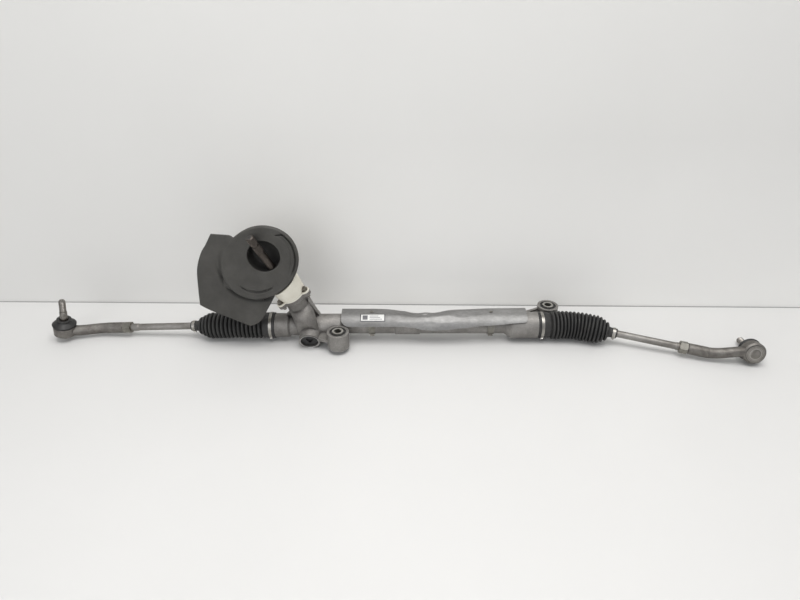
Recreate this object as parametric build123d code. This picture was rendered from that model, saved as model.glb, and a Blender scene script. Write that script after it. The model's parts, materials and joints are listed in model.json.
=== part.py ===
from build123d import *
from math import acos, atan2, cos, degrees, pi, radians, sin, sqrt, tan
import os

# A manual rack-and-pinion steering gear. Everything is modelled about the rack's own axis:
# X runs along the rack to the right, Y to the rear and Z up. The export moves it all so that
# the origin is the centre of the left mounting bush's bore.

# ------------------------------------------------------------------ clearances (mm)
RUN = 0.05           # radial, turning fit
SLIDE = 0.04         # radial, sliding fit
SEAT = 0.05          # radial, ball on its plastic seat
THREAD = 0.03        # radial, screwed joint
LOOSE = 0.5          # free space round a part that only passes by

# ------------------------------------------------------------------ rack and teeth
RACK_R = 11.5
TRAVEL = 70.0        # each way from the centre
RACK_SHIFT = -6.0    # how far to the left of its centre the rack stands at rest
MODULE = 2.0         # normal module
TEETH = 7            # on the pinion
HELIX = 30.0         # right-hand pinion helix, degrees
PRESSURE = 20.0      # normal pressure angle, degrees
PROFILE_SHIFT = 0.5  # in modules
PINION_TIP_R = 10.7
TIP_GAP = 0.45       # tooth tip to tooth root
BACKLASH = 0.16      # taken off each rack tooth's thickness

# ------------------------------------------------------------------ pinion axis
LEAN_FRONT = 18.0    # the tower leans to the front, degrees
LEAN_LEFT = 21.0     # and to the left
PINION_X = -165.0
PINION_OFFSET = 15.0  # between the pinion's axis and the rack's
FACE_DOWN = 16.0     # toothed length below and above the crossing point
FACE_UP = 18.0
JOURNAL_R = 5.9
SHAFT_R = 7.5
SHAFT_TOP_R = 6.9
SHAFT_STEP = 130.0   # heights along the pinion axis, from the crossing point
SHAFT_TOP = 223.0
SPLINE_LENGTH = 34.0
SPLINE_TEETH = 24
SPLINE_DEPTH = 0.55
PINCH_GROOVE_DOWN = 18.0  # pinch bolt groove, below the tip

# ------------------------------------------------------------------ housing
HOUSE_LEFT = -246.0
HOUSE_RIGHT = 270.0
SPIGOT_R = 20.5      # where a boot is clamped
SPIGOT = 15.5
COLLAR_R = 22.3
COLLAR_LENGTH = 24.0
END_R = 24.5         # right-hand end casting
END_LENGTH = 48.0
CONE_LENGTH = 13.0
TUBE_R = 15.6
TUBE_BORE_R = 13.0
PAD_R = 17.2
TOWER_OVALS = (       # height, middle, half width and half depth of the gear case
    (4, -7, 27, 20), (38, -3, 23.5, 21), (62, 0, 22, 21.5), (77, 0, 22, 21.5),
)
CHEEK_UP = 50.0       # the casting's front runs from here on the tower down to the yoke boss
CHEEK_OUT = 24.0
CHEEK_R = 21.0
TOWER_BORE_R = 16.0
FLANGE_AT = 79.5     # top face of the tower
FLANGE_THICK = 7.0
FLANGE_R = 25.5
EAR_PCD_R = 28.0     # three screws on this radius
EAR_R = 7.5
EAR_TURN = 10.0
CAP_END = -29.0      # bottom of the pinion's casting
CAP_R = 14.5
BOSS_R = 19.5        # yoke boss
BOSS_LENGTH = 39.0
BOSS_ROOT = (31.0, 23.0)  # half widths of the casting that the boss grows from

# ------------------------------------------------------------------ mounting bushes
LEFT_EYE = (-112.0, -40.0)
RIGHT_EYE = (285.0, 51.0)
EYE_R = 19.8
EYE_TOP = 12.0
EYE_HEIGHT = 31.0
ARM_HALF = 10.0
BUSH_R = 15.5
SLEEVE_R = 10.0
SLEEVE_BORE_R = 6.5
SLEEVE_PROUD = 1.5

# ------------------------------------------------------------------ yoke
YOKE_R = 16.0
YOKE_LENGTH = 15.0
LINER = 1.0
SPRING_WIRE_R = 1.1
SPRING_R = 6.5
SPRING_TURNS = 3
PLUG_THICK = 6.0
PLUG_SUNK = 3.5
PLUG_KEY_R = 10.0

# ------------------------------------------------------------------ bearings and seal
BEARING_FROM = 20.5
BEARING_WIDE = 9.0
BALLS = 8
BALL_R = 2.4
NEEDLES = 10
NEEDLE_R = 1.5
NEEDLE_FROM = -27.0
NEEDLE_LONG = 10.0
NEEDLE_WALL = 1.0
LOWER_CAP_R = 12.0
LOWER_CAP_THICK = 1.8
NUT_THICK = 6.0      # ring nut on the upper bearing
CIRCLIP = 1.1
CIRCLIP_GROOVE = 0.8
OIL_SEAL_WIDE = 7.0
OIL_SEAL_SUNK = 0.5
RACK_BUSH_R = 15.0
RACK_BUSH_LONG = 18.0
RACK_BUSH_SUNK = 1.5
SCREW_THREAD_R = 3.0
SCREW_HEAD_R = 5.8
SCREW_FLAT_R = 4.0
SCREW_DEEP = 14.0

# ------------------------------------------------------------------ inner ball joints
BALL_REACH = 63.0    # ball centre beyond the housing's end when the rack is centred
INNER_BALL_R = 12.0
INNER_SEAT_R = 14.0
SOCKET_R = 16.0
SOCKET_BACK = 22.0
SOCKET_FRONT = 12.0
SOCKET_MOUTH = 7.5
SCREW_R = 7.0
SCREW_LENGTH = 16.0
WASHER = 1.5

# ------------------------------------------------------------------ tie rods and outer ends
ROD_R = 6.4
ROD_THREAD_R = 7.0
THREAD_FROM = 177.0
THREAD_TO = 226.0
LEFT_NUT_FROM = 191.0  # the toe is set a little differently on each side
RIGHT_NUT_FROM = 183.0
END_ARM = 105.0      # outer ball beyond the nut
ARM_R = 9.6
NUT_LONG = 14.0
NUT_FLAT_R = 10.0
END_TUBE_R = 10.0
END_TUBE_LONG = 36.0
END_CRANK = 15.0     # the outer ball stands off the rod's line, sideways
END_RISE = 13.0      # and towards its stud
END_LEAN = 12.0      # the outer socket leans inwards, degrees
HEAD_R = 19.5
HEAD_TOP = 8.0
HEAD_BOTTOM = -14.0
COLLAR_TOP_R = 16.5
OUTER_BALL_R = 11.0
OUTER_SEAT_R = 13.0
CAP_PLATE_R = 15.1
CAP_PLATE_THICK = 2.4
STUD_NECK_R = 5.4
STUD_TAPER_FROM = 18.0
STUD_TAPER_TO = 36.0
STUD_THREAD_R = 5.9
STUD_TIP = 60.0

# ------------------------------------------------------------------ boots
BOOT_NECK = 70.0     # small end beyond the inner ball
BOOT_WALL = 1.2
CUFF_WALL = 3.2
CUFF_LONG = 15.0
CUFF_PAST = 6.5       # how far it reaches past the housing's end
BOOT_FOLDS = 16
FOLD_DEPTH = 4.8
BOOT_TAPER = 11.0     # how much smaller the last fold is
TAPER_FROM = 0.78     # share of the folds before the taper
LEFT_BOOT_R = 24.5
RIGHT_BOOT_R = 26.2
BAND_WIDE = 5.0
BAND_THICK = 1.0

# ------------------------------------------------------------------ heat shield
SHIELD_LEFT = -107.5
SHIELD_RIGHT = 233.0
SHIELD_R = 28.0
SHIELD_THICK = 0.8
SHIELD_CORNER = 7.0
SHIELD_LOW_CORNER = 14.0  # the larger one, front left
SHIELD_FROM = 27.0   # degrees up from the front
SHIELD_TO = 122.0
STRAPS = (-52.0, 168.0)
STRAP_WIDE = 12.0
STRAP_THICK = 1.4
STRAP_AT = 95.0      # degrees up from the front
POST_PAD_R = 5.5
SHIELD_SCREW_R = 2.0
SHIELD_HEAD_R = 3.6
SHIELD_HEAD = 0.9

# ------------------------------------------------------------------ dash seal and its cup
SEAL_LEAN = 5.0
SEAL_POINT = (-229.0, -37.0, 161.0)  # on the seal's front face, in the middle of its opening
DISC_OFF = (-8.0, -13.5)             # disc centre from that point
DISC_LONG = 72.0     # half axes of the slightly oval disc
DISC_SHORT = 60.5
DISC_TURN = 47.0
DISC_EDGE = 3.0
PLATE_OUT = 122.5    # how far the plate reaches sideways and down from the opening
PLATE_DOWN = 135.0
DISC_RISE = 7.5      # the disc stands proud of the plate
SEAL_HOLE_R = 27.5
SEAL_THICK = 2.5
PLATE_THICK = 3.0
BAG_WALL = 1.8
BAG_FOOT_R = 12.5
BAG_FOOT_UP = 14.0
BAG_DEEP = 30.0
BAG_TOP = 144.0
CUP_WALL = 2.0
CUP_RIM_R = 58.5
CUP_FOOT_R = 25.0
CUP_FOOT = 3.0
NECK_LONG = 48.0
NECK_FLARE = 3.0
BOWL_DEEP = 34.0
BOWL_BACK_R = 40.0

# ------------------------------------------------------------------ worked-out directions
A, B = radians(LEAN_FRONT), radians(LEAN_LEFT)
UP_SLOPE = Vector(0, -sin(A), cos(A))        # across the rack, along its toothed face
AWAY = Vector(0, cos(A), sin(A))             # from the rack to the pinion
PINION_DIR = Vector(-sin(B), -sin(A) * cos(B), cos(A) * cos(B))
PINION_SIDE = Vector(cos(B), -sin(A) * sin(B), cos(A) * sin(B))
CROSSING = Vector(PINION_X, 0, 0) + AWAY * PINION_OFFSET

RACK = Plane(origin=(0, 0, 0), x_dir=(0, 1, 0), z_dir=(1, 0, 0))
PINION = Plane(origin=CROSSING, x_dir=PINION_SIDE, z_dir=PINION_DIR)
YOKE = Plane(origin=(PINION_X, 0, 0), x_dir=(1, 0, 0), z_dir=AWAY * -1)
E = radians(SEAL_LEAN)
SEAL = Plane(origin=SEAL_POINT, x_dir=(1, 0, 0), z_dir=(0, -cos(E), sin(E)))

# ------------------------------------------------------------------ worked-out gear sizes
PSI = radians(HELIX)
RIDGE = B - PSI                              # slant of the rack's teeth
PITCH_R = MODULE * TEETH / (2 * cos(PSI))
SHIFT = PROFILE_SHIFT * MODULE
RACK_PITCH_AT = PINION_OFFSET - PITCH_R - SHIFT
RACK_TIP_AT = RACK_PITCH_AT + MODULE
RACK_ROOT_AT = PINION_OFFSET - PINION_TIP_R - TIP_GAP
PINION_ROOT_R = PINION_OFFSET - RACK_TIP_AT - TIP_GAP
TOOTH_PITCH = pi * MODULE / cos(RIDGE)

# ------------------------------------------------------------------ worked-out places
BALL_LEFT = HOUSE_LEFT - BALL_REACH + RACK_SHIFT
BALL_RIGHT = HOUSE_RIGHT + BALL_REACH + RACK_SHIFT
RACK_END_BACK = SOCKET_BACK + WASHER
END_BORE_R = SOCKET_R + 2.0
END_BORE_DEEP = TRAVEL - BALL_REACH + RACK_END_BACK + 3.5
RACK_BUSH_FROM = HOUSE_RIGHT - END_BORE_DEEP - RACK_BUSH_LONG - RACK_BUSH_SUNK
NEEDLE_SHELL_BORE = JOURNAL_R + 2 * NEEDLE_R + 3 * THREAD
NEEDLE_SHELL_R = NEEDLE_SHELL_BORE + NEEDLE_WALL
JOURNAL_END = CAP_END + LOWER_CAP_THICK + 0.6
CIRCLIP_AT = BEARING_FROM + BEARING_WIDE + 0.1
BEARING_MID_R = (SHAFT_R + TOWER_BORE_R) / 2
EYE_MIDDLE = EYE_TOP - EYE_HEIGHT / 2
ORIGIN = Vector(LEFT_EYE[0], LEFT_EYE[1], EYE_MIDDLE)


# ------------------------------------------------------------------ helpers
def bar(plane, r, z0, z1):
    """A round bar along a plane's normal, from height z0 to z1."""
    return plane.location * Pos(0, 0, (z0 + z1) / 2) * Cylinder(r, z1 - z0)


def ring(plane, r_out, r_in, z0, z1):
    return bar(plane, r_out, z0, z1) - bar(plane, r_in, z0 - 1, z1 + 1)


def turned(plane, *profile):
    """A lathe-turned solid: the profile's points are (radius, height)."""
    face = make_face(Plane.XZ * Polyline(*profile, close=True))
    return plane.location * revolve(face, Axis.Z)


def ball(plane, r):
    return plane.location * Sphere(r)


def shell_of_ball(plane, r_out, r_in, open_angle, back_angle):
    """A ball seat: a spherical shell, open round its axis at the front and at the back."""
    solid = Sphere(r_out) - Sphere(r_in)
    front = r_in * cos(radians(open_angle))
    back = r_out * cos(radians(back_angle))
    solid -= Pos(0, 0, front + r_out) * Cylinder(2 * r_out, 2 * r_out)
    solid -= Pos(0, 0, back - r_out) * Cylinder(2 * r_out, 2 * r_out)
    return plane.location * solid


def hull_plate(z0, z1, *circles):
    """A flat web between upright round bosses, each given as (x, y, radius)."""
    edges = []
    for x, y, r in circles:
        edges.append((Pos(x, y) * Circle(r)).edge())
    return Pos(0, 0, z0) * extrude(make_hull(edges), z1 - z0)


def hexagon(plane, flat_r, z0, z1):
    face = RegularPolygon(flat_r, 6, major_radius=False)
    return plane.location * Pos(0, 0, z0) * extrude(face, z1 - z0)


def through(sections, ruled=True):
    """A loft through circles, each given as (plane, radius)."""
    return loft([p.location * Circle(r) for p, r in sections], ruled=ruled)


def one(shape):
    """The single solid of a result."""
    return shape.solids()[0]


# ------------------------------------------------------------------ housing
def housing_outside():
    pad = (-10.0, 36.0)
    profile = [
        (0, HOUSE_LEFT), (SPIGOT_R, HOUSE_LEFT), (SPIGOT_R, HOUSE_LEFT + SPIGOT),
        (COLLAR_R, HOUSE_LEFT + SPIGOT),
        (COLLAR_R, HOUSE_LEFT + SPIGOT + COLLAR_LENGTH),
        (19.0, HOUSE_LEFT + SPIGOT + COLLAR_LENGTH + 4), (19.0, PINION_X - 22),
        (21.3, PINION_X - 12), (21.3, SHIELD_LEFT - 2), (TUBE_R, SHIELD_LEFT + 7),
        (TUBE_R, pad[0]), (PAD_R, pad[0] + 2), (PAD_R, pad[1]), (TUBE_R, pad[1] + 2),
        (TUBE_R, HOUSE_RIGHT - SPIGOT - END_LENGTH - CONE_LENGTH),
        (END_R, HOUSE_RIGHT - SPIGOT - END_LENGTH),
        (END_R, HOUSE_RIGHT - SPIGOT), (SPIGOT_R, HOUSE_RIGHT - SPIGOT),
        (SPIGOT_R, HOUSE_RIGHT), (0, HOUSE_RIGHT),
    ]
    return turned(RACK, *profile)


def ear_places():
    places = []
    for k in range(3):
        turn = radians(EAR_TURN + 120 * k)
        places.append((EAR_PCD_R * cos(turn), -EAR_PCD_R * sin(turn)))
    return places


def ear_disc(thick):
    """The three-eared outline that the tower's flange and the cup's foot share."""
    face = Circle(FLANGE_R)
    for x, y in ear_places():
        ends = [(Pos(x, y) * Circle(EAR_R)).edge(), Circle(FLANGE_R * 0.55).edge()]
        face += make_hull(ends)
    return extrude(face, thick)


def oval_loft(plane, *sections):
    """A smooth body through ovals given as (height, middle along x, half width, half depth)."""
    faces = [plane.location * Pos(x, 0, z) * Ellipse(wide, deep) for z, x, wide, deep in sections]
    return loft(faces)


def tower():
    """The gear case: wide at the tube, round at the flange, with the needle bearing's end below."""
    body = oval_loft(PINION, *TOWER_OVALS)
    body += PINION.location * Pos(0, 0, FLANGE_AT - FLANGE_THICK) * ear_disc(FLANGE_THICK)
    body += bar(PINION, CAP_R, CAP_END, 4)
    return body


def front_cheek():
    """The casting's rounded front, bent from the tower over the tube to the yoke boss."""
    high = Plane(origin=CROSSING + PINION_DIR * CHEEK_UP, x_dir=PINION_SIDE, z_dir=PINION_DIR * -1)
    low = Plane(origin=YOKE.origin + YOKE.z_dir * CHEEK_OUT, x_dir=(1, 0, 0), z_dir=YOKE.z_dir)
    bend = (high.origin + low.origin) / 2 + UP_SLOPE * 3 - AWAY * 2
    middle = Plane(origin=bend, x_dir=(1, 0, 0), z_dir=YOKE.z_dir - UP_SLOPE)
    faces = [p.location * Circle(r) for p, r in ((high, CHEEK_R), (middle, CHEEK_R), (low, BOSS_R - 1))]
    return loft(faces)


def yoke_boss():
    """A round boss across the rack from the pinion, on a flared root."""
    body = oval_loft(YOKE, (0, 0, *BOSS_ROOT), (BOSS_LENGTH - 12, 0, BOSS_R - 1, BOSS_R - 1))
    return body + bar(YOKE, BOSS_R, BOSS_LENGTH - 13, BOSS_LENGTH)


def tower_ribs():
    """Gussets from the tower down to the tube, on both sides, in the pinion's own plane."""
    plane = Plane(origin=CROSSING - AWAY * 4, x_dir=(1, 0, 0), z_dir=AWAY * -1)
    right = make_face(Polyline((0, 8), (20, 8), (19, 14), (9, 40), (0, 66), close=True))
    left = make_face(Polyline((-12, 8), (-52, 8), (-50, 15), (-38, 30), (-30, 44), close=True))
    ribs = extrude(right + left, 5)
    return plane.location * ribs


def eye_arm(eye, *roots):
    """A mounting eye on a flat arm that runs through the given round places on the casting."""
    x, y = eye
    arm = Pos(x, y, EYE_MIDDLE) * Cylinder(EYE_R, EYE_HEIGHT)
    stops = [(x, y, roots[0][2])] + list(roots)
    for first, second in zip(stops, stops[1:]):
        arm += hull_plate(EYE_MIDDLE - ARM_HALF, EYE_MIDDLE + ARM_HALF, first, second)
    for first, second in zip(stops, stops[1:]):
        small = [(0.65 * p[0] + 0.35 * q[0], 0.65 * p[1] + 0.35 * q[1], p[2] - 5)
                 for p, q in ((first, second), (second, first))]
        arm -= hull_plate(EYE_MIDDLE + ARM_HALF - 3.5, EYE_MIDDLE + ARM_HALF + 1, *small)
    return arm + Pos(x, y, EYE_MIDDLE) * Cylinder(EYE_R, EYE_HEIGHT)


def yoke_web():
    """A flat rib that ties the yoke boss to the left eye."""
    boss_end = YOKE.origin + YOKE.z_dir * (BOSS_LENGTH - 12)
    circles = ((LEFT_EYE[0], LEFT_EYE[1], 12), (PINION_X + 6, boss_end.Y, 10))
    return hull_plate(EYE_MIDDLE - 5, EYE_MIDDLE + 1, *circles)


def rack_bores():
    bores = bar(RACK, TUBE_BORE_R, HOUSE_LEFT - 1, HOUSE_RIGHT + 1)
    bores += bar(RACK, END_BORE_R, HOUSE_LEFT - 1, HOUSE_LEFT + END_BORE_DEEP)
    bores += bar(RACK, END_BORE_R, HOUSE_RIGHT - END_BORE_DEEP, HOUSE_RIGHT + 1)
    bores += bar(RACK, RACK_BUSH_R, RACK_BUSH_FROM, HOUSE_RIGHT - END_BORE_DEEP + 1)
    return bores


def pinion_bores():
    bores = bar(PINION, PINION_TIP_R + LOOSE, NEEDLE_FROM + NEEDLE_LONG, BEARING_FROM + 1)
    bores += bar(PINION, NEEDLE_SHELL_R, CAP_END - 1, NEEDLE_FROM + NEEDLE_LONG + 1)
    bores += bar(PINION, LOWER_CAP_R, CAP_END - 1, CAP_END + LOWER_CAP_THICK)
    bores += bar(PINION, TOWER_BORE_R, BEARING_FROM, FLANGE_AT + 1)
    for x, y in ear_places():
        bores += PINION.location * Pos(x, y, FLANGE_AT - 8) * Cylinder(SCREW_THREAD_R, 18)
    return bores


def rack_housing():
    body = housing_outside() + tower() + tower_ribs() + front_cheek() + yoke_boss()
    body += eye_arm(LEFT_EYE, (LEFT_EYE[0] - 4, -4, 15))
    body += eye_arm(RIGHT_EYE, (236, 27, 10), (230, 4, 14)) + yoke_web()
    body -= rack_bores() + pinion_bores()
    body -= bar(YOKE, YOKE_R + SLIDE, 0, BOSS_LENGTH + 1)
    for x, y in (LEFT_EYE, RIGHT_EYE):
        body -= Pos(x, y, EYE_MIDDLE) * Cylinder(BUSH_R, EYE_HEIGHT + 2)
    return one(body)


def bush(eye):
    x, y = eye
    rubber = Cylinder(BUSH_R, EYE_HEIGHT) - Cylinder(SLEEVE_R, EYE_HEIGHT + 2)
    long = EYE_HEIGHT + 2 * SLEEVE_PROUD
    sleeve = Cylinder(SLEEVE_R, long) - Cylinder(SLEEVE_BORE_R, long + 2)
    place = Pos(x, y, EYE_MIDDLE)
    return place * rubber, place * sleeve


# ------------------------------------------------------------------ rack bar
def tooth_gap(at_x):
    """The space between two rack teeth, a slanting trapezoid bar centred on at_x."""
    lean = tan(radians(PRESSURE))
    half_pitch = pi * MODULE / 4 + BACKLASH / 2
    top = RACK_R + 1
    wide = half_pitch + (top - RACK_PITCH_AT) * lean
    narrow = half_pitch - (RACK_PITCH_AT - RACK_ROOT_AT) * lean
    face = make_face(Polyline(
        (-narrow, RACK_ROOT_AT), (narrow, RACK_ROOT_AT), (wide, top), (-wide, top), close=True))
    ridge = Vector(-sin(RIDGE), 0, 0) + UP_SLOPE * cos(RIDGE)
    across = Vector(cos(RIDGE), 0, 0) + UP_SLOPE * sin(RIDGE)
    plane = Plane(origin=(at_x, 0, 0), x_dir=across, z_dir=ridge)
    flip = 1 if plane.y_dir.dot(AWAY) > 0 else -1
    face = face if flip > 0 else mirror(face, Plane.XZ)
    return plane.location * Pos(0, 0, -RACK_R - 4) * extrude(face, 2 * RACK_R + 8)


def rack_bar():
    left, right = BALL_LEFT + RACK_END_BACK, BALL_RIGHT - RACK_END_BACK
    body = turned(
        RACK, (0, left), (RACK_R - 1, left), (RACK_R, left + 1), (RACK_R, right - 1),
        (RACK_R - 1, right), (0, right),
    )
    reach = TRAVEL + FACE_UP
    first = round((RACK_SHIFT - reach - TOOTH_PITCH / 2) / TOOTH_PITCH)
    last = round((reach + RACK_SHIFT + TOOTH_PITCH / 2) / TOOTH_PITCH)
    length = (last - first + 0.4) * TOOTH_PITCH
    middle = PINION_X + (first + last) / 2 * TOOTH_PITCH
    flat = Plane(origin=Vector(middle, 0, 0), x_dir=(1, 0, 0), z_dir=AWAY)
    cut_high = RACK_R - RACK_TIP_AT + 1
    body -= flat.location * Pos(0, 0, RACK_TIP_AT + cut_high / 2) * Box(length, 4 * RACK_R, cut_high)
    for k in range(first, last):
        body -= tooth_gap(PINION_X + (k + 0.5) * TOOTH_PITCH)
    for end in (left, right):
        body -= RACK.location * Pos(0, 0, end) * Cylinder(SCREW_R + THREAD, 2 * SCREW_LENGTH + 4)
    return one(body)


def rack_bush():
    far = RACK_BUSH_FROM + RACK_BUSH_LONG
    body = ring(RACK, RACK_BUSH_R, RACK_R + RUN, RACK_BUSH_FROM, far)
    for k in range(3):
        slit = Box(3, 1.5, RACK_BUSH_LONG * 0.8)
        body -= RACK.location * Rot(0, 0, 30 + 120 * k) * Pos(RACK_R + 2.2, 0, RACK_BUSH_FROM) * slit
    return one(body)


# ------------------------------------------------------------------ pinion
def pinion_profile():
    """The pinion's transverse section: involute teeth on radial roots."""
    alpha = atan2(tan(radians(PRESSURE)), cos(PSI))
    base = PITCH_R * cos(alpha)
    thick = pi * MODULE / cos(PSI) / 2 + 2 * SHIFT * tan(alpha)

    def half_angle(r):
        at = acos(min(1.0, base / r))
        return thick / (2 * PITCH_R) + (tan(alpha) - alpha) - (tan(at) - at)

    flank = [(PINION_ROOT_R, half_angle(base))]
    for k in range(5):
        r = base + (PINION_TIP_R - base) * k / 4
        flank.append((r, half_angle(r)))
    points = []
    for tooth in range(TEETH):
        middle = -pi / 2 + (tooth + 0.5) * 2 * pi / TEETH
        points += [(r * cos(middle - a), r * sin(middle - a)) for r, a in flank]
        points += [(r * cos(middle + a), r * sin(middle + a)) for r, a in reversed(flank)]
    return make_face(Polyline(*points, close=True))


def pinion_teeth():
    """The toothed part: its section turns evenly from end to end, right-handed."""
    turn = degrees((FACE_UP + FACE_DOWN) * tan(PSI) / PITCH_R)
    start = -degrees(FACE_DOWN * tan(PSI) / PITCH_R)
    face = Pos(0, 0, -FACE_DOWN) * Rot(0, 0, start) * pinion_profile()
    solid = Solid.extrude_linear_with_rotation(
        face.face(), (0, 0, -FACE_DOWN), (0, 0, FACE_UP + FACE_DOWN), turn)
    ends = turned(
        Plane.XY, (0, -FACE_DOWN), (PINION_TIP_R - 2.4, -FACE_DOWN), (PINION_TIP_R + 0.1, -FACE_DOWN + 2.5),
        (PINION_TIP_R + 0.1, FACE_UP - 2.5), (PINION_TIP_R - 2.4, FACE_UP), (0, FACE_UP),
    )
    return PINION.location * (solid & ends)


def spline_end():
    points = []
    for k in range(2 * SPLINE_TEETH):
        r = SHAFT_TOP_R - (SPLINE_DEPTH if k % 2 else 0)
        points.append((r * cos(pi * k / SPLINE_TEETH), r * sin(pi * k / SPLINE_TEETH)))
    face = make_face(Polyline(*points, close=True))
    return PINION.location * Pos(0, 0, SHAFT_TOP - SPLINE_LENGTH) * extrude(face, SPLINE_LENGTH)


def pinion_shaft():
    shoulder = BEARING_FROM
    body = turned(
        PINION, (0, JOURNAL_END), (JOURNAL_R - 0.8, JOURNAL_END), (JOURNAL_R, JOURNAL_END + 1),
        (JOURNAL_R, -FACE_DOWN), (0, -FACE_DOWN),
    )
    body += pinion_teeth()
    top = SHAFT_TOP - SPLINE_LENGTH
    body += turned(
        PINION, (0, FACE_UP), (9.5, FACE_UP), (9.5, shoulder), (SHAFT_R, shoulder),
        (SHAFT_R, CIRCLIP_AT), (SHAFT_R - CIRCLIP_GROOVE, CIRCLIP_AT),
        (SHAFT_R - CIRCLIP_GROOVE, CIRCLIP_AT + CIRCLIP),
        (SHAFT_R, CIRCLIP_AT + CIRCLIP), (SHAFT_R, SHAFT_STEP), (SHAFT_TOP_R, SHAFT_STEP + 3),
        (SHAFT_TOP_R, top), (0, top),
    )
    end = spline_end()
    groove_at = SHAFT_TOP - PINCH_GROOVE_DOWN
    end -= ring(PINION, SHAFT_TOP_R + 2, SHAFT_TOP_R - 1.1, groove_at - 2, groove_at + 2)
    end &= turned(
        PINION, (0, top - 1), (SHAFT_TOP_R + 1, top - 1), (SHAFT_TOP_R + 1, SHAFT_TOP - 2.5),
        (SHAFT_TOP_R - 1.5, SHAFT_TOP), (0, SHAFT_TOP),
    )
    end -= turned(PINION, (0, SHAFT_TOP - 4), (1.6, SHAFT_TOP), (0, SHAFT_TOP))
    return one(body + end)


def upper_bearing():
    z0, z1 = BEARING_FROM, BEARING_FROM + BEARING_WIDE
    track = PINION.location * Pos(0, 0, (z0 + z1) / 2) * Torus(BEARING_MID_R, BALL_R + RUN)
    outer = ring(PINION, TOWER_BORE_R, BEARING_MID_R + 1.5, z0, z1) - track
    inner = ring(PINION, BEARING_MID_R - 1.5, SHAFT_R, z0, z1) - track
    balls = []
    for k in range(BALLS):
        spot = Rot(0, 0, 360 * k / BALLS) * Pos(BEARING_MID_R, 0, (z0 + z1) / 2)
        balls.append(one(PINION.location * spot * Sphere(BALL_R)))
    return one(outer), one(inner), Compound(balls)


def bearing_nut():
    z0 = BEARING_FROM + BEARING_WIDE
    body = ring(PINION, TOWER_BORE_R - THREAD, BEARING_MID_R + 1, z0, z0 + NUT_THICK)
    for k in range(4):
        notch = Rot(0, 0, 90 * k) * Pos(TOWER_BORE_R - 3, 0, z0 + NUT_THICK - 1) * Box(3.4, 3, 4)
        body -= PINION.location * notch
    return one(body)


def shaft_circlip():
    body = ring(PINION, SHAFT_R + 1.6, SHAFT_R - 0.75, CIRCLIP_AT, CIRCLIP_AT + CIRCLIP - 0.05)
    body -= PINION.location * Pos(SHAFT_R + 1, 0, CIRCLIP_AT) * Box(6, 4, 6)
    return one(body)


def needle_bearing():
    z0, z1 = NEEDLE_FROM, NEEDLE_FROM + NEEDLE_LONG
    shell = ring(PINION, NEEDLE_SHELL_R, NEEDLE_SHELL_BORE, z0, z1)
    needles = []
    for k in range(NEEDLES):
        spot = Rot(0, 0, 360 * k / NEEDLES) * Pos(JOURNAL_R + NEEDLE_R + 1.5 * THREAD, 0, (z0 + z1) / 2)
        needles.append(one(PINION.location * spot * Cylinder(NEEDLE_R, NEEDLE_LONG - 1)))
    return one(shell), Compound(needles)


def lower_cap():
    z0 = CAP_END
    return one(turned(
        PINION, (0, z0 + 0.4), (LOWER_CAP_R - 3, z0 + 0.4), (LOWER_CAP_R - 2, z0), (LOWER_CAP_R, z0),
        (LOWER_CAP_R, z0 + LOWER_CAP_THICK), (0, z0 + LOWER_CAP_THICK),
    ))


def oil_seal():
    z1 = FLANGE_AT - OIL_SEAL_SUNK
    z0 = z1 - OIL_SEAL_WIDE
    lip = SHAFT_R + RUN
    return one(turned(
        PINION, (lip + 2.5, z0 + 2), (TOWER_BORE_R, z0), (TOWER_BORE_R, z1), (lip + 2.5, z1),
        (lip, z1 - 2.5), (lip, z1 - 3.5), (lip + 1.6, z0 + 1.5),
    ))


# ------------------------------------------------------------------ yoke
def yoke_piston():
    face = RACK_R + RUN + LINER
    body = bar(YOKE, YOKE_R, 4.5, face + YOKE_LENGTH - 1)
    body -= bar(RACK, face, PINION_X - 20, PINION_X + 20)
    body -= bar(YOKE, SPRING_R + SPRING_WIRE_R + LOOSE, face + 4, face + YOKE_LENGTH)
    return one(body)


def yoke_liner():
    body = ring(RACK, RACK_R + RUN + LINER, RACK_R + RUN, PINION_X - 9, PINION_X + 9)
    keep = bar(YOKE, YOKE_R - 0.6, 4.8, RACK_R + 3)
    return one(body & keep)


def plug_from():
    return BOSS_LENGTH - PLUG_SUNK - PLUG_THICK


def yoke_spring():
    bottom = RACK_R + RUN + LINER + 4
    long = plug_from() - bottom
    pitch = (long - 2 * SPRING_WIRE_R) / SPRING_TURNS
    path = Helix(pitch, pitch * SPRING_TURNS, SPRING_R)
    section = Plane(origin=path @ 0, z_dir=path % 0).location * RegularPolygon(SPRING_WIRE_R, 6)
    coil = sweep(section, path, is_frenet=True)
    return one(YOKE.location * Pos(0, 0, bottom + SPRING_WIRE_R) * coil)


def yoke_plug():
    z0 = plug_from()
    body = bar(YOKE, YOKE_R - THREAD + SLIDE, z0, z0 + PLUG_THICK)
    key = RegularPolygon(PLUG_KEY_R, 3, rotation=30)
    key = fillet(key.vertices(), 2.0)
    body -= YOKE.location * Pos(0, 0, z0 + PLUG_THICK - 3.5) * extrude(key, 5)
    return one(body)


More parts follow.
